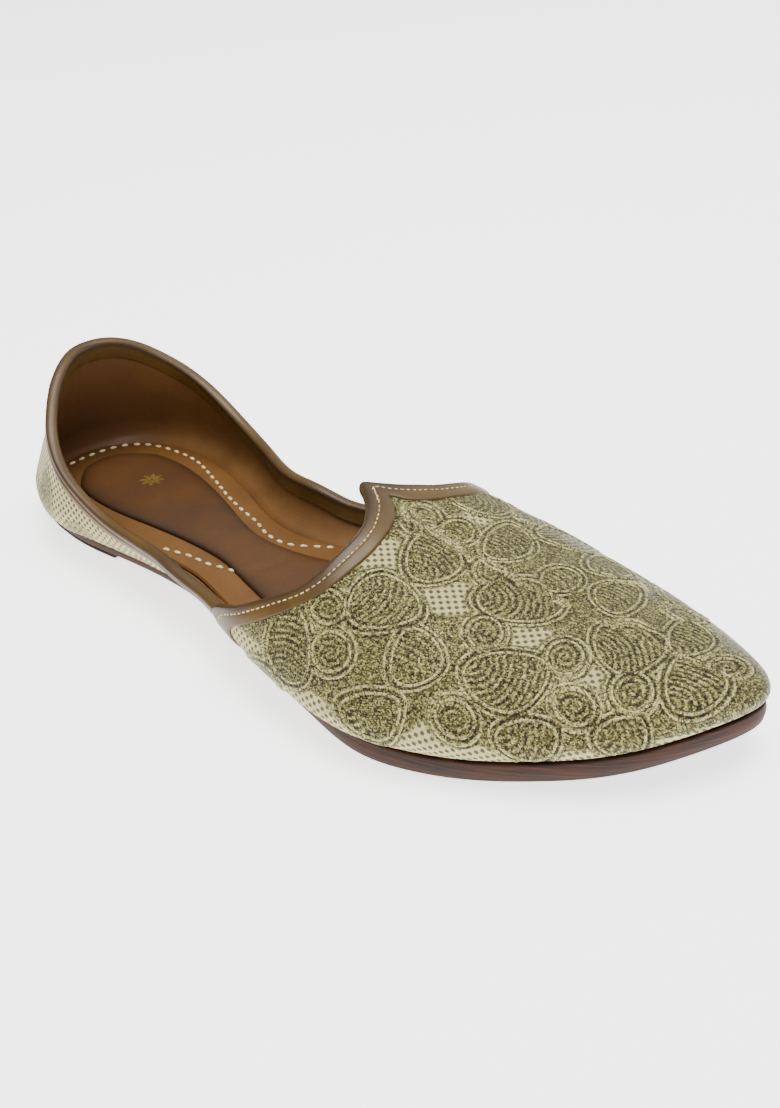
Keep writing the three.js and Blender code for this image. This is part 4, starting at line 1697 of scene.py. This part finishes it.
@dataclass(frozen=True)
class Bindings:
    """The throat's and the top line's bindings.

    The throat's strip ends at a small turn above each foot, and the top line's at a length.
    """

    throat_flange: float = 5.0
    outer: float = 3.3
    inner: float = 6.5
    end: float = 140.0
    foot: float = 0.012

    def build(self, bench: Bench, effects: Effects, upper: Upper) -> None:
        """Make both bindings and their stitches.

        Args:
            bench: places the pieces.
            effects: the shared effects.
            upper: the upper that they are folded over.
        """
        strip = Binding()
        tan = Leather("binding_leather", tint(92, 68, 14), tint(66, 46, 9), tint(42, 27, 8), 0.4)
        olive = Leather("top_leather", tint(96, 70, 24), tint(70, 49, 15), tint(42, 25, 11), 0.42)
        turn = upper.even_turns(420, 178.0)
        turn = turn[(turn > self.foot) & (turn < np.pi - self.foot)][:, None]
        width = upper.throat_at(turn, 2) - upper.throat_at(turn, 1)

        def vamp(at: Array, depth: Array) -> Array:
            """Vamp's face by turn and mm in from the throat."""
            return upper.vamp_face(upper.throat_at(at, 1) + depth, at)

        def quarter(at: Array, depth: Array) -> Array:
            """Quarter's face by turn and mm down from the top line."""
            tall = upper.quarter_face(at, 1.0)[..., 2] - LAST.feather(LAST.station(at))
            return upper.quarter_face(at, 1 - depth / tall)

        throat = strip.strip(vamp, turn, width, upper.wall, self.throat_flange)
        bench.place("throat_binding", throat, tan.make(effects), Slot.BINDING, ("vamp_binding",))
        reach = float(LAST.turn_at(self.end))
        ring = np.linspace(-reach, reach, 361)[:, None]
        around = np.full_like(ring, self.outer)
        top = strip.strip(quarter, ring, around, upper.quarter_wall, self.inner)
        bench.place("topline_binding_strip", top, olive.make(effects), Slot.BINDING,
                    ("topline_binding",))
        cream = Thread("binding_thread", tint(222, 204, 160), tint(168, 142, 100)).make(effects)
        bench.place("throat_stitches", strip.stitches(vamp, turn, width), cream, Slot.STITCH)


# ---------------------------------------------------------------- studio
@dataclass(frozen=True)
class Studio:
    """Pale floor, soft lights and the camera.

    The camera's place is in the frame's millimetres. Each lamp has a name, a place and a size in
    metres, and a power in watts.
    """

    eye: tuple[float, float, float] = (277.79, -263.54, 255.20)
    azimuth: float = 43.536
    elevation: float = 31.499
    roll: float = -2.12
    lens: float = 45.27
    glow: float = 2.2
    sky: float = 0.5
    floor_half: float = 8.0
    lamps: tuple[tuple[str, tuple[float, float, float], float, float], ...] = (
        ("key", (0.1, 0.05, 1.35), 0.9, 30.0), ("front", (0.9, -0.9, 0.7), 0.8, 4.5),
        ("rim", (-0.2, 1.2, 0.8), 0.8, 4.0),
    )

    def camera(self) -> None:
        """Place the camera: it looks along its azimuth and elevation, then rolls."""
        az, el, roll = (np.radians(v) for v in (self.azimuth, self.elevation, self.roll))
        back = np.array([np.sin(az) * np.cos(el), -np.cos(az) * np.cos(el), np.sin(el)])
        level = np.array([np.cos(az), np.sin(az), 0])
        above = np.cross(back, level)
        right = level * np.cos(roll) + above * np.sin(roll)
        up = above * np.cos(roll) - level * np.sin(roll)
        data = bpy.data.cameras.new("camera")
        data.lens = self.lens
        data.sensor_fit = "AUTO"
        data.clip_start = 0.01
        camera = bpy.data.objects.new("camera", data)
        bpy.context.scene.collection.objects.link(camera)
        matrix = np.eye(4)
        matrix[:3, :3] = np.stack([right, up, back], 1)
        matrix[:3, 3] = np.array(self.eye) * MM
        camera.matrix_world = Matrix(matrix.tolist())
        bpy.context.scene.camera = camera

    def light(self, name: str, at: tuple[float, float, float], size: float, power: float) -> None:
        """A soft square light that faces the shoe.

        Args:
            name: the light's name.
            at: its place in metres.
            size: length of its sides in metres.
            power: its power in watts.
        """
        data = bpy.data.lights.new(name, "AREA")
        data.size = size
        data.energy = power
        lamp = bpy.data.objects.new(name, data)
        bpy.context.scene.collection.objects.link(lamp)
        back = unit(np.array(at))
        side = unit(np.cross([0, 0, 1.0], back))
        matrix = np.eye(4)
        matrix[:3, :3] = np.stack([side, np.cross(back, side), back], 1)
        matrix[:3, 3] = at
        lamp.matrix_world = Matrix(matrix.tolist())

    def floor(self) -> None:
        """A wide pale floor."""
        half = self.floor_half
        mesh = bpy.data.meshes.new("floor")
        corners = [(-half, -half, 0), (half, -half, 0), (half, half, 0), (-half, half, 0)]
        mesh.from_pydata(corners, [], [(0, 1, 2, 3)])
        material, graph, shader = principled("floor")
        put(shader, graph, {"Base Color": (0.97, 0.97, 0.97), "Roughness": 0.9,
                            "Emission Color": (1.0, 1.0, 1.0), "Emission Strength": self.glow})
        mesh.materials.append(material)
        floor = bpy.data.objects.new("floor", mesh)
        bpy.context.scene.collection.objects.link(floor)

    def build(self) -> None:
        """Make the floor, the lights, the sky and the camera."""
        self.floor()
        self.camera()
        for lamp in self.lamps:
            self.light(*lamp)
        world = bpy.data.worlds.new("studio")
        world.use_nodes = True
        sky = world.node_tree.nodes["Background"].inputs
        sky["Color"].default_value = (1, 1, 1, 1)
        sky["Strength"].default_value = self.sky
        bpy.context.scene.world = world


def main() -> None:
    """Build the shoe around the frame and set the studio."""
    logging.basicConfig(level=logging.INFO, format="%(name)s %(message)s")
    bench, effects = Bench(), Effects.build()
    Studio().build()
    Sole().build(bench, effects)
    Footbed().build(bench, effects)
    upper = Upper()
    upper.build(bench, effects, Embroidery())
    Bindings().build(bench, effects, upper)


if __name__ == "__main__":
    main()
